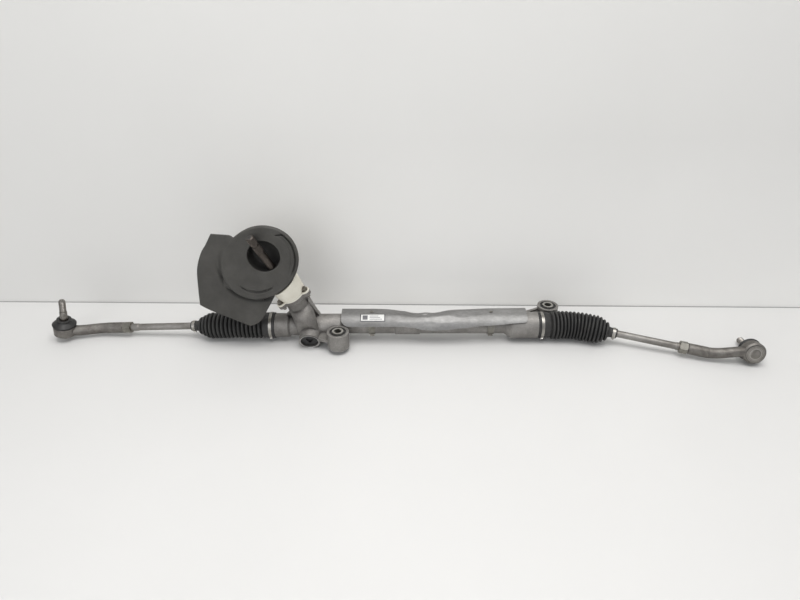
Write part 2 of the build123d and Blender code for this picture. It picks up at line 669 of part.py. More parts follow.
# ------------------------------------------------------------------ tie rods
class Side:
    """Where one tie rod lies: its ball, its direction and how its outer end is turned."""

    def __init__(self, name, ball_x, out, yaw, pitch, nut_from, stud_up, crank_sign, stud_tilt):
        self.name, self.out, self.nut_from = name, out, nut_from
        self.ball = Vector(ball_x, 0, 0)
        level = cos(radians(pitch))
        self.along = Vector(out * level * cos(radians(yaw)), level * sin(radians(yaw)), -sin(radians(pitch)))
        self.seat_dir = Vector(out * level, 0, -sin(radians(pitch)))
        flat = (stud_up - self.along * stud_up.dot(self.along)).normalized()
        self.rod = Plane(origin=self.ball, x_dir=flat, z_dir=self.along)
        side = self.rod.y_dir
        self.head_z = nut_from + NUT_LONG + END_ARM
        self.crank = crank_sign * END_CRANK
        centre = self.ball + self.along * self.head_z + flat * END_RISE + side * self.crank
        self.head = Plane(origin=centre, x_dir=side, z_dir=self.leaned(flat, END_LEAN))
        self.stud = Plane(origin=centre, x_dir=side, z_dir=self.leaned(flat, END_LEAN + stud_tilt))

    def leaned(self, flat, angle):
        """The stud's nominal direction, leaned inwards along the rod."""
        return flat * cos(radians(angle)) - self.along * sin(radians(angle))


LEFT = Side("left", BALL_LEFT, -1, 2.4, 3.1, LEFT_NUT_FROM, Vector(0, 0, 1), -1, 2.0)
RIGHT = Side("right", BALL_RIGHT, 1, -17.5, 3.2, RIGHT_NUT_FROM, Vector(0, 0.972, -0.233), 1, -6.0)


def inner_socket(side):
    plane = Plane(origin=side.ball, x_dir=(0, 1, 0), z_dir=(side.out, 0, 0))
    mouth_r = sqrt((INNER_SEAT_R + SEAT) ** 2 - SOCKET_MOUTH ** 2)
    body = turned(
        plane, (0, -SOCKET_BACK - WASHER - SCREW_LENGTH), (SCREW_R, -SOCKET_BACK - WASHER - SCREW_LENGTH),
        (SCREW_R, -SOCKET_BACK), (SOCKET_R - 1.5, -SOCKET_BACK), (SOCKET_R, -SOCKET_BACK + 1.5),
        (SOCKET_R, SOCKET_FRONT - 3), (mouth_r + 3, SOCKET_FRONT), (0, SOCKET_FRONT),
    )
    body -= ball(plane, INNER_SEAT_R + SEAT)
    body -= turned(
        plane, (0, SOCKET_MOUTH - 3), (mouth_r, SOCKET_MOUTH - 3), (mouth_r, SOCKET_MOUTH),
        (mouth_r + 2, SOCKET_FRONT + 0.1), (0, SOCKET_FRONT + 0.1),
    )
    for turn in (0, 180):
        flat = Rot(0, 0, turn) * Pos(SOCKET_R, 0, -SOCKET_BACK + 5) * Box(3.4, 30, 10)
        body -= plane.location * flat
    return one(body)


def lock_washer(side):
    plane = Plane(origin=side.ball, x_dir=(0, 1, 0), z_dir=(side.out, 0, 0))
    body = ring(plane, SOCKET_R - 1.5, SCREW_R + 0.2, -SOCKET_BACK - WASHER, -SOCKET_BACK)
    return one(body)


def inner_seat(side):
    plane = Plane(origin=side.ball, x_dir=(0, 1, 0), z_dir=side.seat_dir)
    return one(shell_of_ball(plane, INNER_SEAT_R, INNER_BALL_R + SEAT, 55, 150))


def tie_rod(side):
    body = ball(side.rod, INNER_BALL_R)
    body += turned(
        side.rod, (0, 6), (ROD_R, 6), (ROD_R, THREAD_FROM - 1), (ROD_THREAD_R, THREAD_FROM + 1),
        (ROD_THREAD_R, THREAD_TO - 1.5), (ROD_THREAD_R - 1.5, THREAD_TO), (0, THREAD_TO),
    )
    groove_at = BOOT_NECK
    body -= ring(side.rod, ROD_R + 2, ROD_R - 0.5, groove_at - 3, groove_at + 3)
    return one(body)


def jam_nut(side):
    z0, z1 = side.nut_from, side.nut_from + NUT_LONG
    body = hexagon(side.rod, NUT_FLAT_R, z0, z1)
    body &= turned(
        side.rod, (0, z0), (NUT_FLAT_R, z0), (NUT_FLAT_R + 1.6, z0 + 1.2),
        (NUT_FLAT_R + 1.6, z1 - 1.2), (NUT_FLAT_R, z1), (0, z1),
    )
    body -= bar(side.rod, ROD_THREAD_R + THREAD, z0 - 1, z1 + 1)
    return one(body)


def arm_plane(side, rise, crank, z):
    centre = side.rod.location * Pos(END_RISE * rise, side.crank * crank, z)
    return Plane(origin=centre.position, x_dir=side.rod.x_dir, z_dir=side.rod.z_dir)


def outer_end(side):
    tube_from = side.nut_from + NUT_LONG
    tube_to = tube_from + END_TUBE_LONG
    body = turned(
        side.rod, (0, tube_from), (END_TUBE_R - 1.2, tube_from), (END_TUBE_R, tube_from + 1.6),
        (END_TUBE_R, tube_to - 3), (END_TUBE_R - 1, tube_to), (0, tube_to),
    )
    far = side.head_z - 9
    steps = ((0.0, 0.0, tube_to - 4), (0.03, 0.08, tube_to + 8), (0.16, 0.55, (tube_to + far) / 2 + 4),
             (0.45, 0.95, far))
    body += through([(arm_plane(side, x, y, z), ARM_R) for x, y, z in steps], ruled=False)
    head = turned(
        side.head, (0, HEAD_BOTTOM), (HEAD_R - 2.5, HEAD_BOTTOM), (HEAD_R, HEAD_BOTTOM + 2.5),
        (HEAD_R, 3), (HEAD_R - 1.5, 4.5), (COLLAR_TOP_R, 4.5), (COLLAR_TOP_R, HEAD_TOP), (0, HEAD_TOP),
    )
    body += head
    mouth_z = 6.5
    mouth_r = sqrt((OUTER_SEAT_R + SEAT) ** 2 - mouth_z ** 2)
    body -= ball(side.head, OUTER_SEAT_R + SEAT)
    body -= turned(side.head, (0, 4), (mouth_r, 4), (mouth_r, mouth_z), (mouth_r + 1.2, HEAD_TOP + 0.1),
                   (0, HEAD_TOP + 0.1))
    body -= bar(side.head, 9, HEAD_BOTTOM + 1, -OUTER_BALL_R + 2)
    body -= bar(side.head, CAP_PLATE_R, HEAD_BOTTOM - 1, HEAD_BOTTOM + CAP_PLATE_THICK)
    body -= bar(side.rod, ROD_THREAD_R + THREAD, tube_from - 1, THREAD_TO + 3)
    return one(body)


def end_cap(side):
    z = HEAD_BOTTOM
    return one(turned(
        side.head, (0, z - 1.0), (7, z - 1.0), (8.2, z + 0.4), (CAP_PLATE_R, z + 0.4),
        (CAP_PLATE_R, z + CAP_PLATE_THICK), (0, z + CAP_PLATE_THICK),
    ))


def outer_seat(side):
    return one(shell_of_ball(side.stud, OUTER_SEAT_R, OUTER_BALL_R + SEAT, 60, 125))


def ball_stud(side):
    body = ball(side.stud, OUTER_BALL_R)
    body += turned(
        side.stud, (0, 5), (STUD_NECK_R, 5), (STUD_NECK_R, STUD_TAPER_FROM - 2.5), (7.3, STUD_TAPER_FROM),
        (6.5, STUD_TAPER_TO), (STUD_THREAD_R, STUD_TAPER_TO), (STUD_THREAD_R, STUD_TIP - 1.5),
        (STUD_THREAD_R - 1.5, STUD_TIP), (0, STUD_TIP),
    )
    return one(body)


def dust_boot(side):
    """A flat bag from the socket's collar to a lip round the stud."""
    outside = [(side.head, 5.0, COLLAR_TOP_R + 2.6), (side.head, 7.5, 20.6), (side.head, 10.5, 20.2),
               (side.stud, 14.0, 14.5), (side.stud, 15.5, 12.0), (side.stud, 18.5, 12.0)]
    inside = [(side.head, 4.6, COLLAR_TOP_R + 0.3), (side.head, 7.6, COLLAR_TOP_R + 0.8),
              (side.head, 9.5, 18.0), (side.stud, 12.5, 12.5), (side.stud, 15.5, 7.7), (side.stud, 19.0, 7.7)]
    shapes = []
    for sections in (outside, inside):
        rings = [(Plane(origin=(f.location * Pos(0, 0, z)).position, x_dir=f.x_dir, z_dir=f.z_dir), r)
                 for f, z, r in sections]
        shapes.append(through(rings))
    return one(shapes[0] - shapes[1])


# ------------------------------------------------------------------ boots
def boot_path(side, house_x, s):
    """The boot's centre line: straight to the ball, then along the rod. s runs from the housing."""
    to_ball = abs(side.ball.X - house_x)
    straight = Vector(side.out, 0, 0)
    bend = 26.0
    if s <= to_ball - bend:
        return Vector(house_x + side.out * s, 0, 0), straight
    if s >= to_ball + bend:
        return side.ball + side.along * (s - to_ball), side.along
    share = (s - to_ball + bend) / (2 * bend)
    start = side.ball - straight * bend
    end = side.ball + side.along * bend
    point = start * (1 - share) ** 2 + side.ball * (2 * share * (1 - share)) + end * share ** 2
    return point, (straight * (1 - share) + side.along * share).normalized()


def boot_sections(side, house_x, crest_r, inner):
    """Circles along the boot, from the housing cuff to the rod cuff."""
    total = abs(side.ball.X - house_x) + BOOT_NECK
    stops = []
    if inner:
        bore = crest_r - FOLD_DEPTH - BOOT_WALL
        ball_at = total - BOOT_NECK
        stops += [(-CUFF_LONG - 1, SPIGOT_R), (2.0, SPIGOT_R), (4.0, bore)]
        stops += [(ball_at + step, bore) for step in (-26, -13, 0, 13, 26)]
        stops += [(total - 26, bore - 0.27 * BOOT_TAPER), (total - 18, bore - 0.68 * BOOT_TAPER)]
        stops += [(total - 10, ROD_R + 0.1), (total + 6, ROD_R + 0.1)]
    else:
        stops += [(-CUFF_LONG, SPIGOT_R + CUFF_WALL), (CUFF_PAST, SPIGOT_R + CUFF_WALL)]
        first, last = CUFF_PAST + 3, total - 10.0
        for k in range(2 * BOOT_FOLDS + 1):
            share = k / (2 * BOOT_FOLDS)
            narrow = max(0.0, share - TAPER_FROM) / (1 - TAPER_FROM)
            r = crest_r - BOOT_TAPER * narrow ** 1.5
            stops.append((first + (last - first) * share, r if k % 2 else r - FOLD_DEPTH))
        stops += [(total - 6, ROD_R + 2.8), (total + 5, ROD_R + 2.8)]
    sections = []
    for s, r in stops:
        point, way = boot_path(side, house_x, s)
        sections.append((Plane(origin=point, x_dir=(0, 1, 0), z_dir=way), r))
    return sections


def bellows(side, house_x, crest_r):
    outside = through(boot_sections(side, house_x, crest_r, False))
    return one(outside - through(boot_sections(side, house_x, crest_r, True)))


def band(plane, r, wide, ear_turn):
    """A crimped hose band with its pinched ear."""
    body = ring(plane, r + BAND_THICK, r, -wide / 2, wide / 2)
    ear = Rot(0, 0, ear_turn) * Pos(r + BAND_THICK + 1.0, 0, 0) * Box(3.0, 5.0, wide * 0.8)
    body += plane.location * ear
    return one(body - bar(plane, r, -wide, wide))


def large_band(side, house_x):
    middle = Vector(house_x - side.out * CUFF_LONG / 2, 0, 0)
    plane = Plane(origin=middle, x_dir=(0, -1, 0), z_dir=(1, 0, 0))
    return band(plane, SPIGOT_R + CUFF_WALL, BAND_WIDE, 40)


def small_band(side):
    point = side.ball + side.along * (BOOT_NECK - 0.5)
    plane = Plane(origin=point, x_dir=(0, -0.5, -1), z_dir=side.along)
    return band(plane, ROD_R + 2.8, BAND_WIDE, 0)


# ------------------------------------------------------------------ heat shield
def around(r, degrees_up):
    """A point across the tube: 0 degrees is the front, 90 the top."""
    return (-r * cos(radians(degrees_up)), r * sin(radians(degrees_up)))


def heat_shield():
    """A sheet curved round the tube, cut to a rectangle with rounded corners."""
    half, middle = (SHIELD_TO - SHIELD_FROM) / 2, (SHIELD_TO + SHIELD_FROM) / 2
    y, z = around(1.0, middle)
    look = Plane(origin=((SHIELD_LEFT + SHIELD_RIGHT) / 2, 0, 0), x_dir=(1, 0, 0), z_dir=(0, y, z))
    blank = Rectangle(SHIELD_RIGHT - SHIELD_LEFT, 2 * SHIELD_R * sin(radians(half)))
    corners = blank.vertices().sort_by(lambda corner: corner.X + corner.Y)
    blank = fillet(corners[0], SHIELD_LOW_CORNER)
    blank = fillet(blank.vertices().sort_by(Axis.X)[-2:], SHIELD_CORNER)
    sheet = ring(RACK, SHIELD_R, SHIELD_R - SHIELD_THICK, SHIELD_LEFT - 5, SHIELD_RIGHT + 5)
    sheet &= look.location * extrude(blank, SHIELD_R + 5)
    for x in STRAPS:
        sheet -= bar(strap_axis(x), 2.2, SHIELD_R - 5, SHIELD_R + 5)
    return one(sheet)


def strap_axis(x):
    y, z = around(1.0, STRAP_AT)
    return Plane(origin=(x, 0, 0), x_dir=(1, 0, 0), z_dir=(0, y, z))


def shield_bracket(x):
    """A strap round the tube with a post that holds the shield off it."""
    plane = Plane(origin=(x, 0, 0), x_dir=(0, 1, 0), z_dir=(1, 0, 0))
    post = strap_axis(x)
    top = sqrt((SHIELD_R - SHIELD_THICK) ** 2 - POST_PAD_R ** 2) - 0.1
    body = ring(plane, TUBE_R + STRAP_THICK, TUBE_R, -STRAP_WIDE / 2, STRAP_WIDE / 2)
    middle = (TUBE_R + top) / 2
    body += post.location * Pos(0, 0, middle) * Box(STRAP_WIDE, 2.0, top - TUBE_R)
    body += post.location * Pos(0, 0, top - 0.8) * Cylinder(POST_PAD_R, 1.6)
    lug = Rot(0, 0, 235) * Pos(TUBE_R + STRAP_THICK + 1.6, 0, 0) * Box(4.5, 3.0, STRAP_WIDE * 0.7)
    body += plane.location * lug
    body -= bar(plane, TUBE_R, -STRAP_WIDE, STRAP_WIDE)
    body -= post.location * Pos(0, 0, top) * Cylinder(SHIELD_SCREW_R, 7.0)
    return one(body)


def shield_screw(x):
    """A low round-headed screw that holds the sheet on its post."""
    post = strap_axis(x)
    body = bar(post, SHIELD_HEAD_R, SHIELD_R, SHIELD_R + SHIELD_HEAD)
    return one(body + bar(post, SHIELD_SCREW_R, SHIELD_R - 4.4, SHIELD_R + 0.5))


# ------------------------------------------------------------------ cup, screws and dash seal
def cup_shape(wall, low, rim_over):
    """The cup's outline, or its hollow: a neck on the tower that runs into a bowl behind the seal."""
    rim = Plane(SEAL.location * Pos(DISC_OFF[0], DISC_OFF[1], -DISC_RISE - PLATE_THICK))
    back = wall - BOWL_DEEP
    bowl = turned(
        rim, (0, back), (BOWL_BACK_R - wall - 8, back), (BOWL_BACK_R - wall, back + 7),
        (CUP_RIM_R - wall, -6), (CUP_RIM_R - wall, rim_over), (0, rim_over),
    )
    top = FLANGE_AT + NECK_LONG - wall
    neck = turned(
        PINION, (0, low), (CUP_FOOT_R - wall, low), (CUP_FOOT_R + NECK_FLARE - wall, top - 16),
        (CUP_FOOT_R - 6 - wall, top), (0, top),
    )
    return bowl + neck


def pinion_cover():
    """The plastic cup that stands on the tower and carries the dash seal."""
    body = PINION.location * Pos(0, 0, FLANGE_AT) * ear_disc(CUP_FOOT)
    body += cup_shape(0.0, FLANGE_AT, 0.0)
    body -= cup_shape(CUP_WALL, FLANGE_AT + CUP_FOOT, 0.1)
    disc = SEAL.location * Pos(DISC_OFF[0], DISC_OFF[1], -DISC_RISE - PLATE_THICK + 40)
    body -= disc * Cylinder(DISC_LONG + LOOSE, 80)
    body -= bar(PINION, SHAFT_R + 4, FLANGE_AT - 1, FLANGE_AT + 8)
    for x, y in ear_places():
        body -= PINION.location * Pos(x, y, FLANGE_AT) * Cylinder(SCREW_THREAD_R + 0.3, 12)
        body -= PINION.location * Pos(x, y, FLANGE_AT + CUP_FOOT + 5) * Cylinder(6.2, 10)
    return one(body)


def cover_screw(x, y):
    plane = Plane(origin=(PINION.location * Pos(x, y, FLANGE_AT)).position, x_dir=PINION.x_dir,
                  z_dir=PINION.z_dir)
    body = bar(plane, SCREW_THREAD_R - THREAD, -SCREW_DEEP, CUP_FOOT)
    body += bar(plane, SCREW_HEAD_R, CUP_FOOT, CUP_FOOT + 1.2)
    return one(body + hexagon(plane, SCREW_FLAT_R, CUP_FOOT + 1, CUP_FOOT + 5.2))


def seal_plate_outline():
    """The plate's edge in the seal's own plane: a bent left side and a tongue at the bottom."""
    def at(*shares):
        return [(x * PLATE_OUT, y * PLATE_DOWN) for x, y in shares]

    left = Spline(at((-0.70, 0.277), (-0.79, 0.136), (-0.88, 0.01), (-0.96, -0.20), (-0.988, -0.48),
                     (-1.0, -0.70)))
    low = Spline(at((-1.0, -0.70), (-0.84, -0.784), (-0.48, -0.94), (-0.36, -0.992), (-0.28, -1.0),
                    (-0.15, -0.932), (-0.03, -0.755), (0.09, -0.567)))
    top = Polyline(low @ 1, DISC_OFF, *at((-0.41, 0.256)), left @ 0)
    return make_face([left, low, top])


def bag_shape(wall, low, rim_over):
    """The seal's inner bag, or its hollow: a deep cup behind the opening with a sleeve to the shaft."""
    back = wall - BAG_DEEP
    cup = turned(
        SEAL, (0, back), (SEAL_HOLE_R - wall - 8, back), (SEAL_HOLE_R + BAG_WALL - wall, back + 8),
        (SEAL_HOLE_R + BAG_WALL - wall, rim_over), (0, rim_over),
    )
    return cup + bar(PINION, BAG_FOOT_R - wall, low, BAG_TOP - wall)


def seal_disc(thick):
    """The raised oval disc with its rounded front edge, laid flat."""
    outline = Pos(DISC_OFF[0], DISC_OFF[1]) * Rot(0, 0, DISC_TURN) * Ellipse(DISC_LONG, DISC_SHORT)
    disc = extrude(outline, thick)
    return fillet(disc.edges().sort_by(Axis.Z)[-1], DISC_EDGE)


def dash_seal():
    """A moulded rubber plate with a raised round disc, whose bag reaches down round the shaft."""
    plane = Plane(SEAL.location * Pos(DISC_OFF[0], DISC_OFF[1], 0))
    back = -DISC_RISE - PLATE_THICK
    body = SEAL.location * Pos(0, 0, back) * extrude(seal_plate_outline(), PLATE_THICK)
    body += SEAL.location * Pos(0, 0, back) * seal_disc(-back)
    body -= bar(plane, CUP_RIM_R - CUP_WALL, back - 1, -SEAL_THICK)
    body += bag_shape(0.0, FLANGE_AT + BAG_FOOT_UP, -1.0)
    body -= bag_shape(BAG_WALL, FLANGE_AT + BAG_FOOT_UP - 0.1, 0.1)
    body -= bar(PINION, SHAFT_TOP_R + 2 * LOOSE, BAG_TOP - 4, BAG_TOP + 14)
    return one(body)


# ------------------------------------------------------------------ all nodes
def side_nodes(side, house_x, crest_r):
    name = side.name
    return {
        name + "_inner_socket": inner_socket(side),
        name + "_lock_washer": lock_washer(side),
        name + "_inner_seat": inner_seat(side),
        name + "_tie_rod": tie_rod(side),
        name + "_jam_nut": jam_nut(side),
        name + "_outer_end": outer_end(side),
        name + "_end_cap": end_cap(side),
        name + "_outer_seat": outer_seat(side),
        name + "_ball_stud": ball_stud(side),
        name + "_dust_boot": dust_boot(side),
        name + "_bellows": bellows(side, house_x, crest_r),
        name + "_large_band": large_band(side, house_x),
        name + "_small_band": small_band(side),
    }


def all_nodes():
    nodes = {"rack_housing": rack_housing(), "rack_bar": rack_bar(), "rack_bush": rack_bush()}
    for name, eye in (("left", LEFT_EYE), ("right", RIGHT_EYE)):
        nodes[name + "_bush_rubber"], nodes[name + "_bush_sleeve"] = bush(eye)
    nodes["pinion_shaft"] = pinion_shaft()
    outer, inner, balls = upper_bearing()
    nodes["upper_bearing_outer"], nodes["upper_bearing_inner"] = outer, inner
    nodes["upper_bearing_balls"] = balls
    nodes["bearing_nut"], nodes["shaft_circlip"] = bearing_nut(), shaft_circlip()
    nodes["needle_shell"], nodes["needle_rollers"] = needle_bearing()
    nodes["lower_cap"], nodes["oil_seal"] = lower_cap(), oil_seal()
    nodes["yoke"], nodes["yoke_liner"] = yoke_piston(), yoke_liner()
    nodes["yoke_spring"], nodes["yoke_plug"] = yoke_spring(), yoke_plug()
    nodes["pinion_cover"] = pinion_cover()
    nodes["cover_screws"] = Compound([cover_screw(x, y) for x, y in ear_places()])
    nodes["dash_seal"] = dash_seal()
    nodes["heat_shield"] = heat_shield()
    nodes["shield_brackets"] = Compound([shield_bracket(x) for x in STRAPS])
    nodes["shield_screws"] = Compound([shield_screw(x) for x in STRAPS])
    nodes.update(side_nodes(LEFT, HOUSE_LEFT, LEFT_BOOT_R))
    nodes.update(side_nodes(RIGHT, HOUSE_RIGHT, RIGHT_BOOT_R))
    return nodes


def export_all():
    os.makedirs("parts", exist_ok=True)
    shift = Location(ORIGIN * -1)
    for name, shape in all_nodes().items():
        export_step(shape.moved(shift), "parts/" + name + ".step")
        print(name, round(shape.volume, 1))


export_all()
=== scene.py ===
# %% [markdown]
# # A rack-and-pinion steering gear
# The solids come packed from the CAD step, and they stay where they are. This lesson gives each
# of them a finish, and builds the soft and pressed parts, which a CAD solid shows only roughly:
# the rubber boots, the dash seal and the dented heat shield.

# %% Load the frame
import json
from math import atan2, cos, degrees, exp, hypot, pi, radians, sin

import bmesh
import bpy
from mathutils import Euler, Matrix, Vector, noise


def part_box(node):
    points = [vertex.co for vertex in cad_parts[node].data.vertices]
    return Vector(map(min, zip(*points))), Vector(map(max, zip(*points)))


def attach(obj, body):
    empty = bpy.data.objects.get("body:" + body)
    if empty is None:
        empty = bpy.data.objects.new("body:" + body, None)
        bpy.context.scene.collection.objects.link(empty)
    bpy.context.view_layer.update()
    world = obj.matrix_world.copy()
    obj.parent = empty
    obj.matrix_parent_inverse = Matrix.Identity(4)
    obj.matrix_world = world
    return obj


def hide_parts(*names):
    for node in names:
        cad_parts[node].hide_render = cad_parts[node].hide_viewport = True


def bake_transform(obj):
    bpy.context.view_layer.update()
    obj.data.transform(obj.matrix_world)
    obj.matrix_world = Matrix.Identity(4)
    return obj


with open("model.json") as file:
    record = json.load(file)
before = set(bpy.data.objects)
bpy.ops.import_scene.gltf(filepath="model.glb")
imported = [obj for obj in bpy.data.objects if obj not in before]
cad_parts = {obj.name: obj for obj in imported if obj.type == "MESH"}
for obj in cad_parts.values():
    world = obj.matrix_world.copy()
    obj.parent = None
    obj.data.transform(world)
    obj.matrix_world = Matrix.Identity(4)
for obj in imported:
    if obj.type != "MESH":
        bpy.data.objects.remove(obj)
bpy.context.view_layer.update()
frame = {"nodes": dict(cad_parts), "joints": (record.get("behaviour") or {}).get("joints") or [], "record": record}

# %% [markdown]
# Lengths below are in metres and in the frame's own axes: X along the rack to the right, Y to
# the rear, Z up, from the centre of the left mounting bush. Profiles of turned pieces are in
# millimetres. A few axes of the gear are named here, because many pieces are turned about them.
# They are read from the joints and the solids, so the looks follow if the gear is changed.

# %% Name the gear's own axes
MM = 0.001
SIDES = ("left", "right")
OUT = {"left": -1.0, "right": 1.0}                # towards each end, along X
REAR, UP = Vector((0, 1, 0)), Vector((0, 0, 1))
RACK_LINE = Vector((0.0, 0.040, 0.0035))          # any point on the rack's axis
JOINTS = {joint["name"]: joint for joint in frame["joints"]}
BALL = {side: Vector(JOINTS[side + "_inner_yaw"]["pos_m"]) for side in SIDES}
HEAD = {side: Vector(JOINTS[side + "_outer_tilt"]["pos_m"]) for side in SIDES}
STUD_WAY = {side: Vector(JOINTS[side + "_stud_spin"]["axis"]) for side in SIDES}
PINION_AT = Vector(JOINTS["pinion_spin"]["pos_m"])
PINION_WAY = Vector(JOINTS["pinion_spin"]["axis"])


def middle_of(node):
    """The middle of a solid's box."""
    low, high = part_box(node)
    return (low + high) / 2


def spots_of(node):
    """Every point of a solid, in the frame."""
    solid = frame["nodes"][node]
    return [solid.matrix_world @ v.co for v in solid.data.vertices]


# The jam nut sits on the rod's axis, well away from the ball, so it gives the rod's direction.
ROD_WAY = {side: (middle_of(side + "_jam_nut") - BALL[side]).normalized() for side in SIDES}
for side in SIDES:
    print(side, "rod points", tuple(round(v, 3) for v in ROD_WAY[side]))


# %% [markdown]
# ## Tools for the finishes
# Every material here is grown from the same few nodes: soft noise for stains, fine noise for the
# surface itself, a worn-edge mask from the difference between a bevelled and a plain normal, and
# a painted-shade mask from ambient occlusion, which darkens the colour in corners. Pictures
# wrapped round the pieces would do as well, but nodes have no seams and need no unwrapping. A
# small helper makes a node and wires it in one line, so that a recipe reads from top to bottom.

# %% Make a node and wire it
def grow(tree, kind, inputs=None, **settings):
    """A new node. Each input is wired to a socket, or set to a value."""
    made = tree.nodes.new(kind)
    for key, value in settings.items():
        setattr(made, key, value)
    for key, value in (inputs or {}).items():
        if isinstance(value, bpy.types.NodeSocket):
            tree.links.new(value, made.inputs[key])
        else:
            made.inputs[key].default_value = value
    return made


def product(tree, a, b):
    return grow(tree, "ShaderNodeMath", {0: a, 1: b}, operation="MULTIPLY").outputs[0]


def opaque(tone):
    """A grey or a colour as Blender's four numbers. A socket stays as it is."""
    if isinstance(tone, bpy.types.NodeSocket):
        return tone
    return (*tone, 1.0) if isinstance(tone, tuple) else (tone, tone, tone, 1.0)


def ramp(tree, factor, stops):
    """A colour ramp between two (position, grey or colour) stops."""
    made = grow(tree, "ShaderNodeValToRGB", {"Fac": factor})
    for element, (position, tone) in zip(made.color_ramp.elements, stops):
        element.position = position
        element.color = opaque(tone)
    return made.outputs["Color"]


def blended(tree, factor, a, b, kind="MIX"):
    """Colour a where the factor is 0 and b where it is 1."""
    made = grow(tree, "ShaderNodeMix", {0: factor, 6: opaque(a), 7: opaque(b)},
                data_type="RGBA", blend_type=kind)
    return made.outputs[2]


# %% [markdown]
# The masks. Object coordinates are metres in the frame, so a noise scale of 400 has grains of
# about 2.5 mm on every piece, whatever its size.

# %% Masks for stains, worn edges and painted shade
MASK_RAYS = 6                                     # few rays, since the masks are soft anyway


def speckle(tree, scale, detail=4.0, rough=0.6, squeeze=None):
    """Noise from 0 to 1. A squeeze under 1 along an axis draws it out into streaks."""
    place = grow(tree, "ShaderNodeTexCoord").outputs["Object"]
    if squeeze:
        place = grow(tree, "ShaderNodeMapping", {"Vector": place, "Scale": squeeze}).outputs[0]
    inputs = {"Vector": place, "Scale": scale, "Detail": detail, "Roughness": rough}
    return grow(tree, "ShaderNodeTexNoise", inputs).outputs["Fac"]


def worn_edge(tree, radius):
    """White on edges that a thumb would rub bright."""
    soft = grow(tree, "ShaderNodeBevel", {"Radius": radius}, samples=MASK_RAYS).outputs["Normal"]
    plain = grow(tree, "ShaderNodeNewGeometry").outputs["Normal"]
    same = grow(tree, "ShaderNodeVectorMath", {0: soft, 1: plain}, operation="DOT_PRODUCT")
    return ramp(tree, same.outputs["Value"], [(0.80, 1.0), (0.985, 0.0)])


def corner_shade(tree, reach):
    """White in corners, creases and folds, where the colour is darkened as painted shade."""
    made = grow(tree, "ShaderNodeAmbientOcclusion", {"Distance": reach}, samples=MASK_RAYS)
    return ramp(tree, made.outputs["AO"], [(0.25, 1.0), (0.85, 0.0)])


# %% [markdown]
# Real surfaces are never evenly glossy or quite smooth. Both the metals and the rubbers let
# their roughness wander between two limits, and take a fine bump from the grain.

# %% Start a finish, and make it uneven
FINISH = {}


def new_finish(name):
    """A material's node tree and its shader node."""
    material = bpy.data.materials.new(name)
    material.use_nodes = True
    FINISH[name] = material
    return material.node_tree, material.node_tree.nodes["Principled BSDF"]


def uneven_gloss(tree, shader, patches, roughness):
    limits = {"Value": patches, "From Min": 0.3, "From Max": 0.7,
              "To Min": roughness[0], "To Max": roughness[1]}
    gloss = grow(tree, "ShaderNodeMapRange", limits)
    tree.links.new(gloss.outputs["Result"], shader.inputs["Roughness"])


def grain_bump(tree, shader, fine, lump, deep):
    bump = grow(tree, "ShaderNodeBump", {"Height": fine, "Strength": lump, "Distance": deep})
    tree.links.new(bump.outputs["Normal"], shader.inputs["Normal"])


# %% [markdown]
# One recipe covers the metals: two tones that a large noise moves between, a fine grain in the
# bump, brighter edges, and corners darkened with painted shade. What differs between a sand
# casting, a forging and a turned stud is the tones, the grain and how far the edges are rubbed.

# %% A recipe for the metals
def metal(name, tones, edge, shade_tone, grain, lump, roughness, patch=26.0, shine=1.0, squeeze=None):
    """shade_tone is the tone of the painted shade in the corners and how much of it; lump is the bump's strength.
    """
    tree, shader = new_finish(name)
    patches = speckle(tree, patch, 6.0, 0.62, squeeze)
    stain = ramp(tree, patches, [(0.33, tones[0]), (0.62, tones[1])])
    fine = speckle(tree, grain, 3.0, 0.7, squeeze)
    flecks = ramp(tree, fine, [(0.3, 0.35), (0.75, 1.0)])
    flecked = blended(tree, 0.35, stain, flecks, "MULTIPLY")
    rubbed = blended(tree, worn_edge(tree, 0.0007), flecked, edge)
    # painted shade: the colour is pulled towards a darker tone in the corners that the occlusion mask finds
    corners = product(tree, corner_shade(tree, 0.012), shade_tone[1])
    tree.links.new(blended(tree, corners, rubbed, shade_tone[0]), shader.inputs["Base Color"])
    uneven_gloss(tree, shader, speckle(tree, patch * 2.3, 4.0), roughness)
    grain_bump(tree, shader, fine, lump, 0.0004)
    shader.inputs["Metallic"].default_value = shine


# %% [markdown]
# Rubber and moulded plastic are not metallic. Rubber goes chalky and dusty on its high parts, and
# its folds are darkened with painted shade, so the open surface is the paler one.

# %% A recipe for rubber and plastic
def moulded(name, tones, fold, edge, grain, lump, roughness, patch=30.0, reach=0.006):
    """fold is the tone of the painted shade deep in the folds, and reach is how wide a fold may be to count."""
    tree, shader = new_finish(name)
    patches = speckle(tree, patch, 7.0, 0.65)
    stain = ramp(tree, patches, [(0.34, tones[0]), (0.68, tones[1])])
    rubbed = blended(tree, worn_edge(tree, 0.0009), stain, edge)
    # painted shade: the colour darkens towards the fold tone where the occlusion mask finds folds and corners
    colour = blended(tree, corner_shade(tree, reach), rubbed, fold)
    tree.links.new(colour, shader.inputs["Base Color"])
    uneven_gloss(tree, shader, speckle(tree, patch * 1.7, 5.0), roughness)
    grain_bump(tree, shader, speckle(tree, grain, 3.0, 0.6), lump, 0.0003)
